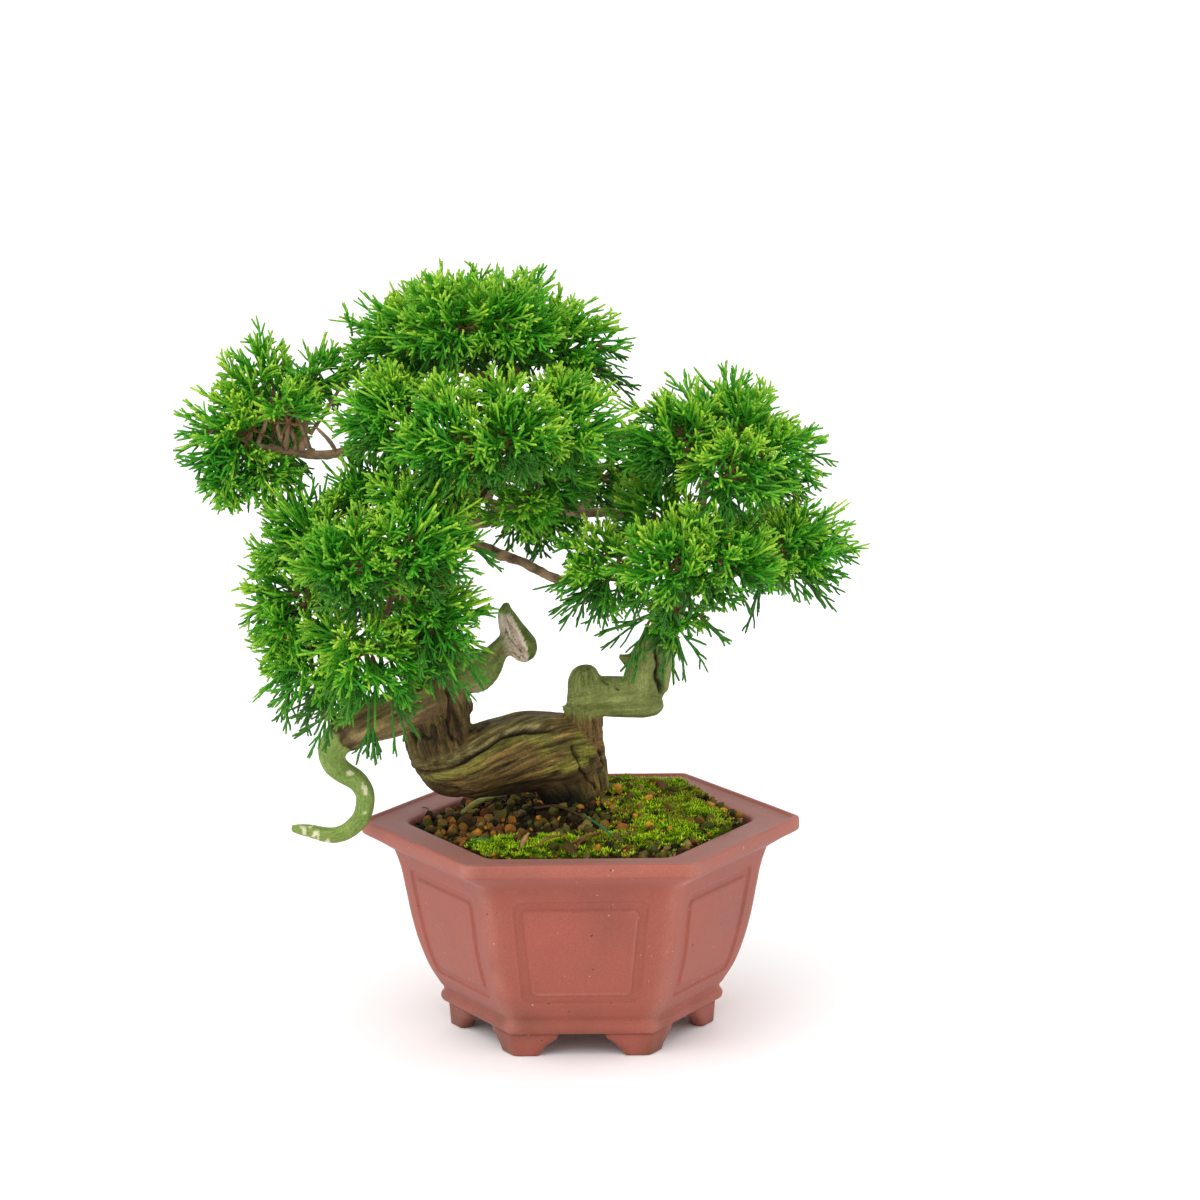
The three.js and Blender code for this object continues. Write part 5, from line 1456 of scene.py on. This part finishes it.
def make_old_wood(settings):
    parts = [
        limb_tube(stations, OLD_WOOD_SIDES, OLD_WOOD_STEPS, lobes) for _, lobes, stations in OLD_WOOD.values()
    ]
    points, edges, quads, tris = fused("old_wood", parts, settings.wood_detail)
    points = relaxed(points, edges, SMOOTHING_ROUNDS)
    normals = point_normals(points, quads, tris)
    places = wood_places(points, OLD_WOOD)
    gaps = np.stack([places[name][0] for name in OLD_WOOD])
    weights = np.exp(gaps.min(axis=0) - gaps)
    weights /= weights.sum(axis=0)
    leading = np.argmax(weights, axis=0)
    height = np.zeros(len(points))
    tone = np.zeros((len(points), 3))
    grain = np.zeros((len(points), 3))
    fibre = np.zeros(len(points))
    for order, (weight, (name, (finish, _, _))) in enumerate(zip(weights, OLD_WOOD.items())):
        run = places[name][1]
        work_out, strength = FINISHES[finish]
        limb_height, limb_tone = work_out(points, run)
        height += weight * limb_height * np.clip(run[2] / 9, 0.2, 1)
        tone += weight[:, None] * limb_tone
        fibre += weight * strength
        own = leading == order
        grain[own] = grain_points(run, GRAIN_STRETCH, order)[own]
    cracked = np.zeros(len(points))
    wandering = points + 0.9 * lumps(points, 4.0, 78)[:, None]
    ragged = lumps(points, 1.6, 77)
    for line, half_width, depth, plane in CRACKS:
        distance = from_line(wandering, line) + 0.35 * half_width * ragged
        open_part = smooth_step(1.6 * half_width, 0.3 * half_width, distance)
        open_part *= smooth_step(plane + 1, plane - 1, points[:, 1])
        height -= depth * open_part
        cracked = np.maximum(cracked, open_part)
    points = points + normals * height[:, None]
    piece = mesh_piece("old_wood", points, quads, tris)
    give_colours(piece, "tone", np.clip(stained(tone, (24, 18, 10), 0.92 * cracked), 0, 1))
    give_values(piece, "fibre", fibre)
    layer = piece.data.attributes.new("grain", "FLOAT_VECTOR", "POINT")
    layer.data.foreach_set("vector", grain.astype(np.float32).ravel())
    piece.data.materials.append(wood_material())
    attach(piece, BODY)
    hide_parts("trunk")


def tuft_root(name):
    """Where a tuft's twigs leave its branch: off its middle, towards the middle of its pad."""
    heart, reach = next((np.array(t[1:4], float), np.mean(t[4:])) for t in TUFTS if t[0] == name)
    inward = np.mean([t[1:4] for t in TUFTS if t[0][0] == name[0]], axis=0) - heart
    far = max(np.linalg.norm(inward), 1e-6)
    return heart + inward / far * min(ROOT_SHIFT * reach, 0.6 * far)


def twig_stations():
    """Branches run on to their tuft's middle, and every other tuft gets a twig from the nearest thin wood."""
    runs = [[*stations, (*tuft_root(tuft), 0.9)] for tuft, stations in BRANCHES.values()]
    carried = {RISER_TUFT, *(tuft for tuft, _ in BRANCHES.values())}
    samples = []
    for stations in [OLD_WOOD["riser"][2], OLD_WOOD["right_riser"][2], *(s for _, s in BRANCHES.values())]:
        centres, radii, _ = curve_through(stations, 5)
        samples += [(centre, radius) for centre, radius in zip(centres, radii) if radius < SLIM_WOOD]
    for name, *_ in TUFTS:
        if name in carried:
            continue
        heart = tuft_root(name)
        start, radius = min(samples, key=lambda sample: np.linalg.norm(sample[0] - heart))
        reach = np.linalg.norm(heart - start)
        middle = (start + heart) / 2 - (0, 0, 0.08 * reach)
        root = min(1.9, radius * 0.85)
        runs.append([(*start, root), (*middle, (root + 1.0) / 2), (*heart, 0.8)])
    return runs


def make_branches():
    parts = []
    for stations in [*twig_stations(), *BARE_TWIGS]:
        slim = [(x, y, z, BRANCH_SLIMNESS * radius) for x, y, z, radius in stations]
        points, quads, tris = limb_tube(slim, BRANCH_SIDES, BRANCH_STEPS, 0.08)
        centres, radii, _ = curve_through(stations, BRANCH_STEPS)
        spine = np.repeat(centres, BRANCH_SIDES, axis=0)
        ring = points[: len(spine)]
        knots = 0.5 * lumps(ring, 2.4, 81) + 0.4 * lumps(ring, 1.2, 82)
        knots *= np.minimum(np.repeat(radii, BRANCH_SIDES), 1.6) / 2.4
        points[: len(spine)] = ring + unit(ring - spine) * knots[:, None]
        parts.append((points, quads, tris))
    piece = join_parts("branches", parts)
    places = np.concatenate([part[0] for part in parts])
    tone = shades((84, 54, 38), (218, 180, 144), 0.5 + 0.75 * rough(places, 2.4, 3, 83))
    green = smooth_step(0.1, 0.6, rough(places, 6, 2, 84))
    give_colours(piece, "tone", stained(tone, (92, 88, 50), 0.35 * green))
    piece.data.materials.append(painted_material("branch_bark", 1500, 0.0004, 0.75))
    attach(piece, BODY)


# Foliage


def square_to(directions, headings):
    """The part of each direction that is square to a heading of length 1."""
    return unit(directions - headings * np.sum(directions * headings, axis=-1, keepdims=True))


def bend(start, control, end, t):
    """Points at shares t of the way from start to end, drawn towards the control point."""
    return (1 - t) ** 2 * start + 2 * t * (1 - t) * control + t**2 * end


def ring_shares(rings):
    """How far along a cord its rings are: close together at its tip, so that it ends bluntly."""
    return np.append(np.linspace(0, BLUNT_FROM, rings - 1), 1.0)


def both(cords, more):
    """Two sets of cords as one."""
    return {key: np.concatenate([values, more[key]]) for key, values in cords.items()}


def chosen(cords, keep):
    """The cords for which keep holds."""
    return {key: values[keep] for key, values in cords.items()}


def cord_mesh(paths, radii, sides):
    """Blunt cords of scale leaves: each ring is turned by half a side from the last.

    paths is cords x rings x 3 and radii cords x rings.
    """
    cords, rings, _ = paths.shape
    headings = unit(np.gradient(paths, axis=1))
    aside = unit(np.cross(headings[:, 0], headings[:, 0][:, ::-1] + (0.31, -0.17, 0.23)))
    across = square_to(aside[:, None], headings)
    side = np.cross(headings, across)
    angle = (np.arange(sides)[None] + 0.5 * (np.arange(rings)[:, None] % 2)) * TURN / sides
    reach = radii[..., None]
    points = (
        paths[:, :, None]
        + across[:, :, None] * (np.cos(angle)[None] * reach)[..., None]
        + side[:, :, None] * (np.sin(angle)[None] * reach)[..., None]
    )
    body = points[:, :-1].reshape(cords, (rings - 1) * sides, 3)
    points = np.concatenate([body, paths[:, -1:]], axis=1)
    size = (rings - 1) * sides + 1
    tris = []
    for ring in range(rings - 2):
        for k in range(sides):
            low, low_next = ring * sides + k, ring * sides + (k + 1) % sides
            high, high_next = low + sides, low_next + sides
            if ring % 2 == 0:
                tris += [(low, low_next, high), (low_next, high_next, high)]
            else:
                tris += [(low, high_next, high), (low, low_next, high_next)]
    last = (rings - 2) * sides
    tris += [(last + k, last + (k + 1) % sides, size - 1) for k in range(sides)]
    tris = np.array(tris)[None] + (np.arange(cords) * size)[:, None, None]
    return points.reshape(-1, 3), tris.reshape(-1, 3)


def bent_paths(cords, rings):
    """Points along each cord."""
    start, control, end = (cords[key][:, None] for key in ("start", "control", "end"))
    return bend(start, control, end, ring_shares(rings)[None, :, None])


def any_side(directions, rng):
    """A random direction square to each one given."""
    return unit(np.cross(directions, rng.normal(size=directions.shape)))


def spread_directions(count, rng):
    """Even directions all round, each shaken a little."""
    k = np.arange(count) + 0.5
    z = 1 - 2 * k / count
    angle = k * math.pi * (3 - math.sqrt(5)) + rng.uniform(0, TURN)
    ring = np.sqrt(1 - z * z)
    even = np.stack([ring * np.cos(angle), ring * np.sin(angle), z], axis=1)
    return unit(even + 0.16 * rng.normal(size=even.shape))


def depth_in_others(points, name):
    """Lowest relative distance of each point from the middle of any other tuft: 1 is that tuft's skin."""
    best = np.full(len(points), 9.0)
    for other, x, y, z, rx, ry, rz in TUFTS:
        if other != name:
            best = np.minimum(best, np.linalg.norm((points - (x, y, z)) / (rx, ry, rz), axis=1))
    return best


def seen_through(cords):
    """Which cords leave the windows between the tufts open."""
    clear = np.ones(len(cords["end"]), bool)
    eye = np.array(CAMERA_PLACE)
    for point in (cords["start"], cords["control"], cords["end"]):
        for x, z, half_width, half_height, plane in WINDOWS:
            depth = (plane - eye[1]) / (point[:, 1] - eye[1])
            across = (eye[0] + (point[:, 0] - eye[0]) * depth - x) / half_width
            up = (eye[2] + (point[:, 2] - eye[2]) * depth - z) / half_height
            clear &= (np.hypot(across, up) > 1) | (point[:, 1] > plane)
    return clear


def long_shoots(name, rng):
    """The named tuft's long cords, which bend a little and carry few side cords."""
    rows = [(start, end) for tuft, start, ends in LONG_SHOOTS if tuft == name for end in ends]
    if not rows:
        return None
    start, end = (np.clip(np.array(column, float), FOLIAGE_LOW, FOLIAGE_HIGH) for column in zip(*rows))
    way = unit(end - start)
    bow = 0.06 * np.linalg.norm(end - start, axis=1)[:, None]
    count = len(rows)
    return {
        "start": start,
        "control": (start + end) / 2 + bow * any_side(way, rng),
        "end": end,
        "plane": any_side(way, rng),
        "young_and_lit": rng.uniform(0.1, 0.5, count),
        "hanging": smooth_step(0.1, -0.5, way[:, 2]) * rng.uniform(0.5, 1.0, count),
        "bare": np.ones(count, bool),
    }


def twigs_of(root, reach, rng):
    """Woody twigs from a tuft's middle, and the way that each of them goes."""
    ways = spread_directions(TWIGS_PER_TUFT, rng)
    ends = root + ways * reach * TWIG_REACH * rng.uniform(0.75, 1.1, (TWIGS_PER_TUFT, 1))
    control = (root + ends) / 2 + 0.12 * reach.mean() * any_side(ways, rng)
    return {"start": np.tile(root, (TWIGS_PER_TUFT, 1)), "control": control, "end": ends}, ways


def clump_shoots(clump, root, size, rng):
    """Shoots of a small clump, which start between its middle and the root of its tuft."""
    middle = np.array(clump[:3], float)
    ways = spread_directions(CLUMP_SHOOTS, rng)
    start = middle + (root - middle) * rng.uniform(0.0, 0.5, (CLUMP_SHOOTS, 1))
    end = middle + ways * clump[3:] * rng.uniform(0.8, 1.1, (CLUMP_SHOOTS, 1))
    end = np.clip(end, FOLIAGE_LOW, FOLIAGE_HIGH)
    return {
        "start": start,
        "end": end,
        "plane": any_side(ways, rng),
        "young_and_lit": rng.uniform(0.2, 0.8, CLUMP_SHOOTS),
        "hanging": np.zeros(CLUMP_SHOOTS),
        "bare": rng.random(CLUMP_SHOOTS) < WHIP_SHARE,
        "control": (start + end) / 2 + 0.04 * size * any_side(ways, rng),
    }


def shoots_of(tuft, settings, rng):
    """A tuft's middle, its reach, its twigs, and the main shoots that leave them for its outside."""
    name = tuft[0]
    heart, reach = np.array(tuft[1:], float).reshape(2, 3)
    size = reach.mean()
    root = tuft_root(name)
    twigs, twig_ways = twigs_of(root, reach, rng)
    count = round(settings.shoots_per_tuft * (size / TUFT_RADIUS) ** 2)
    ways = spread_directions(count, rng)
    bare = rng.random(count) < WHIP_SHARE
    outer = rng.random(count) < OUTER_SHARE
    length = np.where(outer, rng.uniform(0.84, 0.98, count), rng.uniform(0.5, 0.84, count))
    length = np.where(bare, rng.uniform(1.0, 1.26, count), length)
    ends = np.clip(heart + ways * reach * length[:, None], FOLIAGE_LOW, FOLIAGE_HIGH)
    keep = depth_in_others(ends, name) > NEAREST_OTHER
    ways, ends, bare = ways[keep], ends[keep], bare[keep]
    likeness = unit(ends - root) @ twig_ways.T + rng.uniform(-0.9, 0.9, (len(ways), TWIGS_PER_TUFT))
    carriers = (twigs[key][np.argmax(likeness, axis=1)] for key in ("start", "control", "end"))
    start = bend(*carriers, rng.uniform(0.3, 1.0, len(ways))[:, None])
    lift = np.where(ways[:, 2:] > -0.3, -CORD_LIFT, 0.5 * CORD_LIFT) * (1 - np.abs(ways[:, 2:]))
    shoots = {
        "start": start,
        "control": (start + ends) / 2 + np.array([0, 0, size]) * lift + 0.03 * size * any_side(ways, rng),
        "end": ends,
        "plane": any_side(ways, rng),
        # Shoots that point up or to the front are made newer: painted light on the tuft's top and front
        "young_and_lit": np.clip(0.5 + 0.3 * rng.normal(size=len(ways)) + 0.3 * ways[:, 2] - 0.22 * ways[:, 1], 0, 1),
        # Downward shoots get the darker hanging green: older leaves, and painted shade under the tuft
        "hanging": smooth_step(-0.25, -0.75, ways[:, 2]) * rng.uniform(0.3, 1.0, len(ways)),
        "bare": bare,
    }
    for carrier, *clump in CLUMPS:
        if carrier == name:
            shoots = both(shoots, clump_shoots(clump, root, size, rng))
    return heart, reach, twigs, shoots


def side_cords(cords, count, kind, rng):
    """Nearly straight side cords, left and right in turn along each cord and a little out of its fan."""
    first, last, opening, share, least = BRANCHING[kind]
    owner = np.repeat(np.arange(len(cords["end"])), count)
    order = np.tile(np.arange(count), len(cords["end"]))
    t = first + (last - first) * (order + rng.uniform(0.1, 0.9, len(owner))) / count
    a, b, c = (cords[key][owner] for key in ("start", "control", "end"))
    at = t[:, None]
    root = bend(a, b, c, at)
    ahead = unit((1 - at) * (b - a) + at * (c - b))
    square = square_to(cords["plane"][owner], ahead)
    hand = np.where((order + owner) % 2 == 0, 1.0, -1.0)[:, None]
    aside = square_to(square * hand + OUT_OF_FAN * rng.normal(size=square.shape), ahead)
    angle = (opening * rng.uniform(0.7, 1.35, len(owner)))[:, None]
    length = least + share * (1 - t) * np.linalg.norm(c - a, axis=1) * rng.uniform(0.6, 1.15, len(owner))
    half = 0.5 * length[:, None]
    control = root + unit(ahead * np.cos(angle * 1.15) + aside * np.sin(angle * 1.15)) * half
    end = control + unit(ahead * np.cos(angle * 0.8) + aside * np.sin(angle * 0.8) + (0, 0, 0.08)) * half
    return {
        "start": root,
        "control": control,
        "end": end,
        "plane": any_side(end - root, rng),
        "young_and_lit": np.clip(cords["young_and_lit"][owner] + rng.normal(0, 0.1, len(owner)), 0, 1),
        "hanging": cords["hanging"][owner],
        "bare": cords["bare"][owner],
    }


def cord_youth_and_light(cords, heart, reach, share, old, new):
    """How new and how lit each ring of each cord is: newer towards its tip, with painted shade deep in the
    tuft and painted light further out and higher up.
    """
    out = np.linalg.norm((cords["end"] - heart) / reach, axis=1)
    up = (cords["end"][:, 2] - heart[2]) / reach[2]
    # Painted shade deep in the tuft, and painted light further out and higher up
    fresh = smooth_step(0.35, 1.0, out) * (0.35 + 0.65 * cords["young_and_lit"]) + 0.1 * up
    return np.clip(old + (new * share[None] ** 1.5 + 0.22) * fresh[:, None], 0, 1)


def grow_tuft(tuft, settings, rng):
    """Paths, radii, age and painted light, hanging and twig shares of all the cords of one tuft, in groups of
    like cords.
    """
    heart, reach, twigs, shoots = shoots_of(tuft, settings, rng)
    extra = long_shoots(tuft[0], rng)
    shoots = chosen(shoots, seen_through(shoots))
    if extra:
        shoots = both(shoots, extra)
    sides = side_cords(chosen(shoots, ~shoots["bare"]), settings.side_cords, "sides", rng)
    sides = chosen(sides, seen_through(sides))
    forks = side_cords(sides, settings.forks, "forks", rng)
    forks = chosen(forks, seen_through(forks) & (rng.random(len(forks["end"])) < FORKS_KEPT))
    whips = side_cords(chosen(shoots, shoots["bare"]), WHIP_CORDS, "whips", rng)
    whips = chosen(whips, seen_through(whips))
    thick = settings.cord_thickness / MM / 2
    groups = []
    for kind, cords in {"shoots": shoots, "sides": sides, "forks": forks, "whips": whips}.items():
        rings, old, new, base, tip = CORD_KINDS[kind]
        share = ring_shares(rings)
        youth_and_light = cord_youth_and_light(cords, heart, reach, share, old, new)
        radii = thick * (base + (tip - base) * share) * rng.uniform(0.82, 1.12, (len(youth_and_light), 1))
        radii[:, -2] *= 0.85
        hanging = np.repeat(cords["hanging"][:, None], rings, axis=1)
        woody = smooth_step(0.2, 0.06, share) if kind == "shoots" else np.zeros(rings)
        groups.append((bent_paths(cords, rings), radii, youth_and_light, hanging, np.tile(woody, (len(youth_and_light), 1))))
    share = np.linspace(0, 1, TWIG_RINGS)
    crooked = 0.3 * rng.normal(size=(TWIGS_PER_TUFT, TWIG_RINGS, 3)) * share[None, :, None]
    paths = bent_paths(twigs, TWIG_RINGS) + crooked
    radii = (0.85 - 0.4 * share) * rng.uniform(0.8, 1.15, (TWIGS_PER_TUFT, TWIG_RINGS))
    flat = np.zeros((TWIGS_PER_TUFT, TWIG_RINGS))
    groups.append((paths, radii, flat + 0.3, flat, flat + 1))
    return groups


def make_foliage(settings):
    material = foliage_material(settings)
    for order, tuft in enumerate(TUFTS):
        rng = np.random.default_rng(100 + order)
        parts = []
        values = {"youth_and_light": [], "hanging": [], "twig": []}
        for paths, radii, *shares in grow_tuft(tuft, settings, rng):
            points, tris = cord_mesh(paths, radii, CORD_SIDES)
            parts.append((points, [], tris))
            for store, share in zip(values.values(), shares):
                body = np.repeat(share[:, :-1], CORD_SIDES, axis=1)
                store.append(np.concatenate([body, share[:, -1:]], axis=1).ravel())
        name = tuft[0]
        piece = join_parts("foliage_" + name, parts)
        for key, store in values.items():
            give_values(piece, key, np.concatenate(store))
        piece.data.materials.append(material)
        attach(piece, BODY)
        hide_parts("spray_" + name)


# Stage


def make_stage(settings):
    scene = bpy.context.scene
    world = bpy.data.worlds.new("white_studio")
    world.use_nodes = True
    world.node_tree.nodes["Background"].inputs["Color"].default_value = (1, 1, 1, 1)
    world.node_tree.nodes["Background"].inputs["Strength"].default_value = settings.surround
    scene.world = world

    half = FLOOR_HALF
    corners = np.array([(-half, -half, 0), (half, -half, 0), (half, half, 0), (-half, half, 0)], float)
    floor = mesh_piece("floor", corners, [[0, 1, 2, 3]])
    n = Nodes("white_floor")
    cloudy = n.ramp(n.noise(3), (0.0, (0.97,) * 3), (1.0, (0.985,) * 3))
    floor.data.materials.append(n.finish(cloudy, 0.8, 0.0))

    light = bpy.data.lights.new("soft_key", "SUN")
    light.energy = settings.key_strength
    light.angle = settings.key_softness
    lamp = bpy.data.objects.new("soft_key", light)
    lamp.rotation_euler = (-Vector(KEY_FROM)).to_track_quat("-Z", "Y").to_euler()
    scene.collection.objects.link(lamp)

    camera = bpy.data.cameras.new("camera")
    camera.sensor_width = CAMERA_SENSOR
    camera.sensor_fit = "HORIZONTAL"
    camera.lens = CAMERA_LENS
    camera.clip_end = CAMERA_FAR
    holder = bpy.data.objects.new("camera", camera)
    turn = Matrix((CAMERA_RIGHT, CAMERA_UP, -Vector(CAMERA_AHEAD))).transposed().to_4x4()
    holder.matrix_world = Matrix.Translation(Vector(HOME * MM) + Vector(CAMERA_PLACE) * MM) @ turn
    scene.collection.objects.link(holder)
    scene.camera = holder
    scene.view_settings.view_transform = "Standard"


# Sizes and colours that a user would change


def colour_property(name, description, screen):
    colour = tuple(linear(screen))
    return FloatVectorProperty(
        name=name, description=description, subtype="COLOR", size=3, min=0, max=1, default=colour,
    )


def count_property(name, description, default, least=1):
    return IntProperty(name=name, description=description, default=default, min=least)


def length_property(name, description, default, least):
    return FloatProperty(
        name=name, description=description, default=default, min=least, unit="LENGTH", precision=5,
    )


class BonsaiPotSettings(bpy.types.PropertyGroup):
    clay: colour_property("Clay", "Colour of the fired clay", (154, 79, 64))
    # Colour of the brown stains near the foot and of the painted shade in the panels' sunk bands
    stain_and_band_shade: colour_property("Smudge", "Brown stain near the pot's foot", (108, 62, 40))
    rim_top: colour_property("Rim top", "Dulled clay on the flat of the rim", (144, 86, 74))
    # Colour of the pale dusty arrises and of the painted highlights on the rim's side and the front panel's
    # crests
    dust_and_highlight: colour_property("Dust", "Pale clay dust on the arrises and the rim's edge", (192, 130, 112))


class BonsaiGroundSettings(bpy.types.PropertyGroup):
    grain_count: count_property("Grains", "Grit grains that lie on the mix", 1100)
    moss_shoots: count_property("Moss shoots", "Moss shoots on all the cushions", 5000, 100)


class BonsaiTreeSettings(bpy.types.PropertyGroup):
    wood_detail: length_property("Wood detail", "Size of the faces of the old wood", 0.00078, 0.0003)
    cord_thickness: length_property("Cord thickness", "Width of a foliage cord", 0.00125, 0.0005)
    shoots_per_tuft: count_property("Shoots", "Main shoots of a tuft 24 mm in radius", 50)
    side_cords: count_property("Side cords", "Side cords along each shoot", 7)
    forks: count_property("Forks", "Short cords along each side cord", 2)
    # Deep green also stands for painted shade inside the tufts
    leaf_deep: colour_property("Inner green", "Cords deep in a tuft", (14, 74, 3))
    leaf_mid: colour_property("Leaf green", "Grown cords", (70, 172, 26))
    leaf_tip: colour_property("Young green", "Young tips", (196, 236, 66))
    # The hanging green is also painted shade under the tufts
    leaf_old_and_shaded: colour_property("Hanging green", "Old cords that hang under a tuft", (58, 116, 38))
    twig: colour_property("Twig", "Woody part of a shoot", (168, 126, 88))
    twig_dark: colour_property("Twig shade", "Flaked patches of a twig", (96, 62, 40))


class BonsaiStageSettings(bpy.types.PropertyGroup):
    surround: FloatProperty(
        name="Surround", description="Strength of the white surround", default=1.15, min=0,
    )
    key_strength: FloatProperty(
        name="Key light", description="Strength of the soft light from the front", default=0.9, min=0,
    )
    key_softness: FloatProperty(
        name="Key softness", description="Angle over which the key light spreads", default=0.85, min=0,
        subtype="ANGLE",
    )


# Operators


class BONSAI_OT_make_stage(bpy.types.Operator):
    """Place the floor, lights and camera"""

    bl_idname = "bonsai.make_stage"
    bl_label = "Stage"

    def execute(self, context):
        make_stage(context.scene.bonsai_stage)
        return {"FINISHED"}


class BONSAI_OT_make_pot(bpy.types.Operator):
    """Model the hexagonal clay pot with its panels and feet"""

    bl_idname = "bonsai.make_pot"
    bl_label = "Clay pot"

    def execute(self, context):
        make_pot(context.scene.bonsai_pot)
        return {"FINISHED"}


class BONSAI_OT_dress_screen(bpy.types.Operator):
    """Give the drain cover its plastic"""

    bl_idname = "bonsai.dress_screen"
    bl_label = "Drain cover"

    def execute(self, context):
        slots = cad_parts["drain_screen"].data.materials
        material = screen_material()
        if len(slots):
            slots[0] = material
        else:
            slots.append(material)
        return {"FINISHED"}


class BONSAI_OT_make_growing_mix(bpy.types.Operator):
    """Model the growing mix and the grit on it"""

    bl_idname = "bonsai.make_growing_mix"
    bl_label = "Growing mix"

    def execute(self, context):
        make_grit_bed()
        make_grains(context.scene.bonsai_ground)
        return {"FINISHED"}


class BONSAI_OT_make_litter(bpy.types.Operator):
    """Lay the twigs, fallen cords and stone on the mix"""

    bl_idname = "bonsai.make_litter"
    bl_label = "Litter"

    def execute(self, context):
        make_litter()
        return {"FINISHED"}


class BONSAI_OT_make_moss(bpy.types.Operator):
    """Grow the moss cushions"""

    bl_idname = "bonsai.make_moss"
    bl_label = "Moss"

    def execute(self, context):
        make_moss(context.scene.bonsai_ground)
        return {"FINISHED"}


class BONSAI_OT_make_old_wood(bpy.types.Operator):
    """Model the trunk, stumps and deadwood"""

    bl_idname = "bonsai.make_old_wood"
    bl_label = "Old wood"

    def execute(self, context):
        make_old_wood(context.scene.bonsai_tree)
        return {"FINISHED"}


class BONSAI_OT_make_branches(bpy.types.Operator):
    """Model the thin branches and twigs"""

    bl_idname = "bonsai.make_branches"
    bl_label = "Branches"

    def execute(self, context):
        make_branches()
        return {"FINISHED"}


class BONSAI_OT_make_foliage(bpy.types.Operator):
    """Grow the foliage tufts"""

    bl_idname = "bonsai.make_foliage"
    bl_label = "Foliage"

    def execute(self, context):
        make_foliage(context.scene.bonsai_tree)
        return {"FINISHED"}


class BONSAI_PT_pieces(bpy.types.Panel):
    """The bonsai's sizes, colours and pieces"""

    bl_idname = "BONSAI_PT_pieces"
    bl_label = "Bonsai"
    bl_space_type = "VIEW_3D"
    bl_region_type = "UI"
    bl_category = "Bonsai"

    def draw(self, context):
        for group in SETTINGS:
            box = self.layout.box()
            for name in getattr(context.scene, group).bl_rna.properties.keys():
                if name not in ("rna_type", "name"):
                    box.prop(getattr(context.scene, group), name)
        for operator in OPERATORS:
            self.layout.operator(operator.bl_idname)


SETTINGS = {
    "bonsai_pot": BonsaiPotSettings,
    "bonsai_ground": BonsaiGroundSettings,
    "bonsai_tree": BonsaiTreeSettings,
    "bonsai_stage": BonsaiStageSettings,
}
OPERATORS = (
    BONSAI_OT_make_stage, BONSAI_OT_make_pot, BONSAI_OT_dress_screen, BONSAI_OT_make_growing_mix,
    BONSAI_OT_make_moss, BONSAI_OT_make_litter, BONSAI_OT_make_old_wood, BONSAI_OT_make_branches,
    BONSAI_OT_make_foliage,
)


def register():
    for cls in (*SETTINGS.values(), *OPERATORS, BONSAI_PT_pieces):
        bpy.utils.register_class(cls)
    for name, cls in SETTINGS.items():
        setattr(bpy.types.Scene, name, PointerProperty(type=cls))


def unregister():
    for name in SETTINGS:
        delattr(bpy.types.Scene, name)
    for cls in reversed((*SETTINGS.values(), *OPERATORS, BONSAI_PT_pieces)):
        bpy.utils.unregister_class(cls)


def main():
    register()
    for operator in OPERATORS:
        getattr(bpy.ops.bonsai, operator.bl_idname.split(".")[1])()


if __name__ == "__main__":
    main()
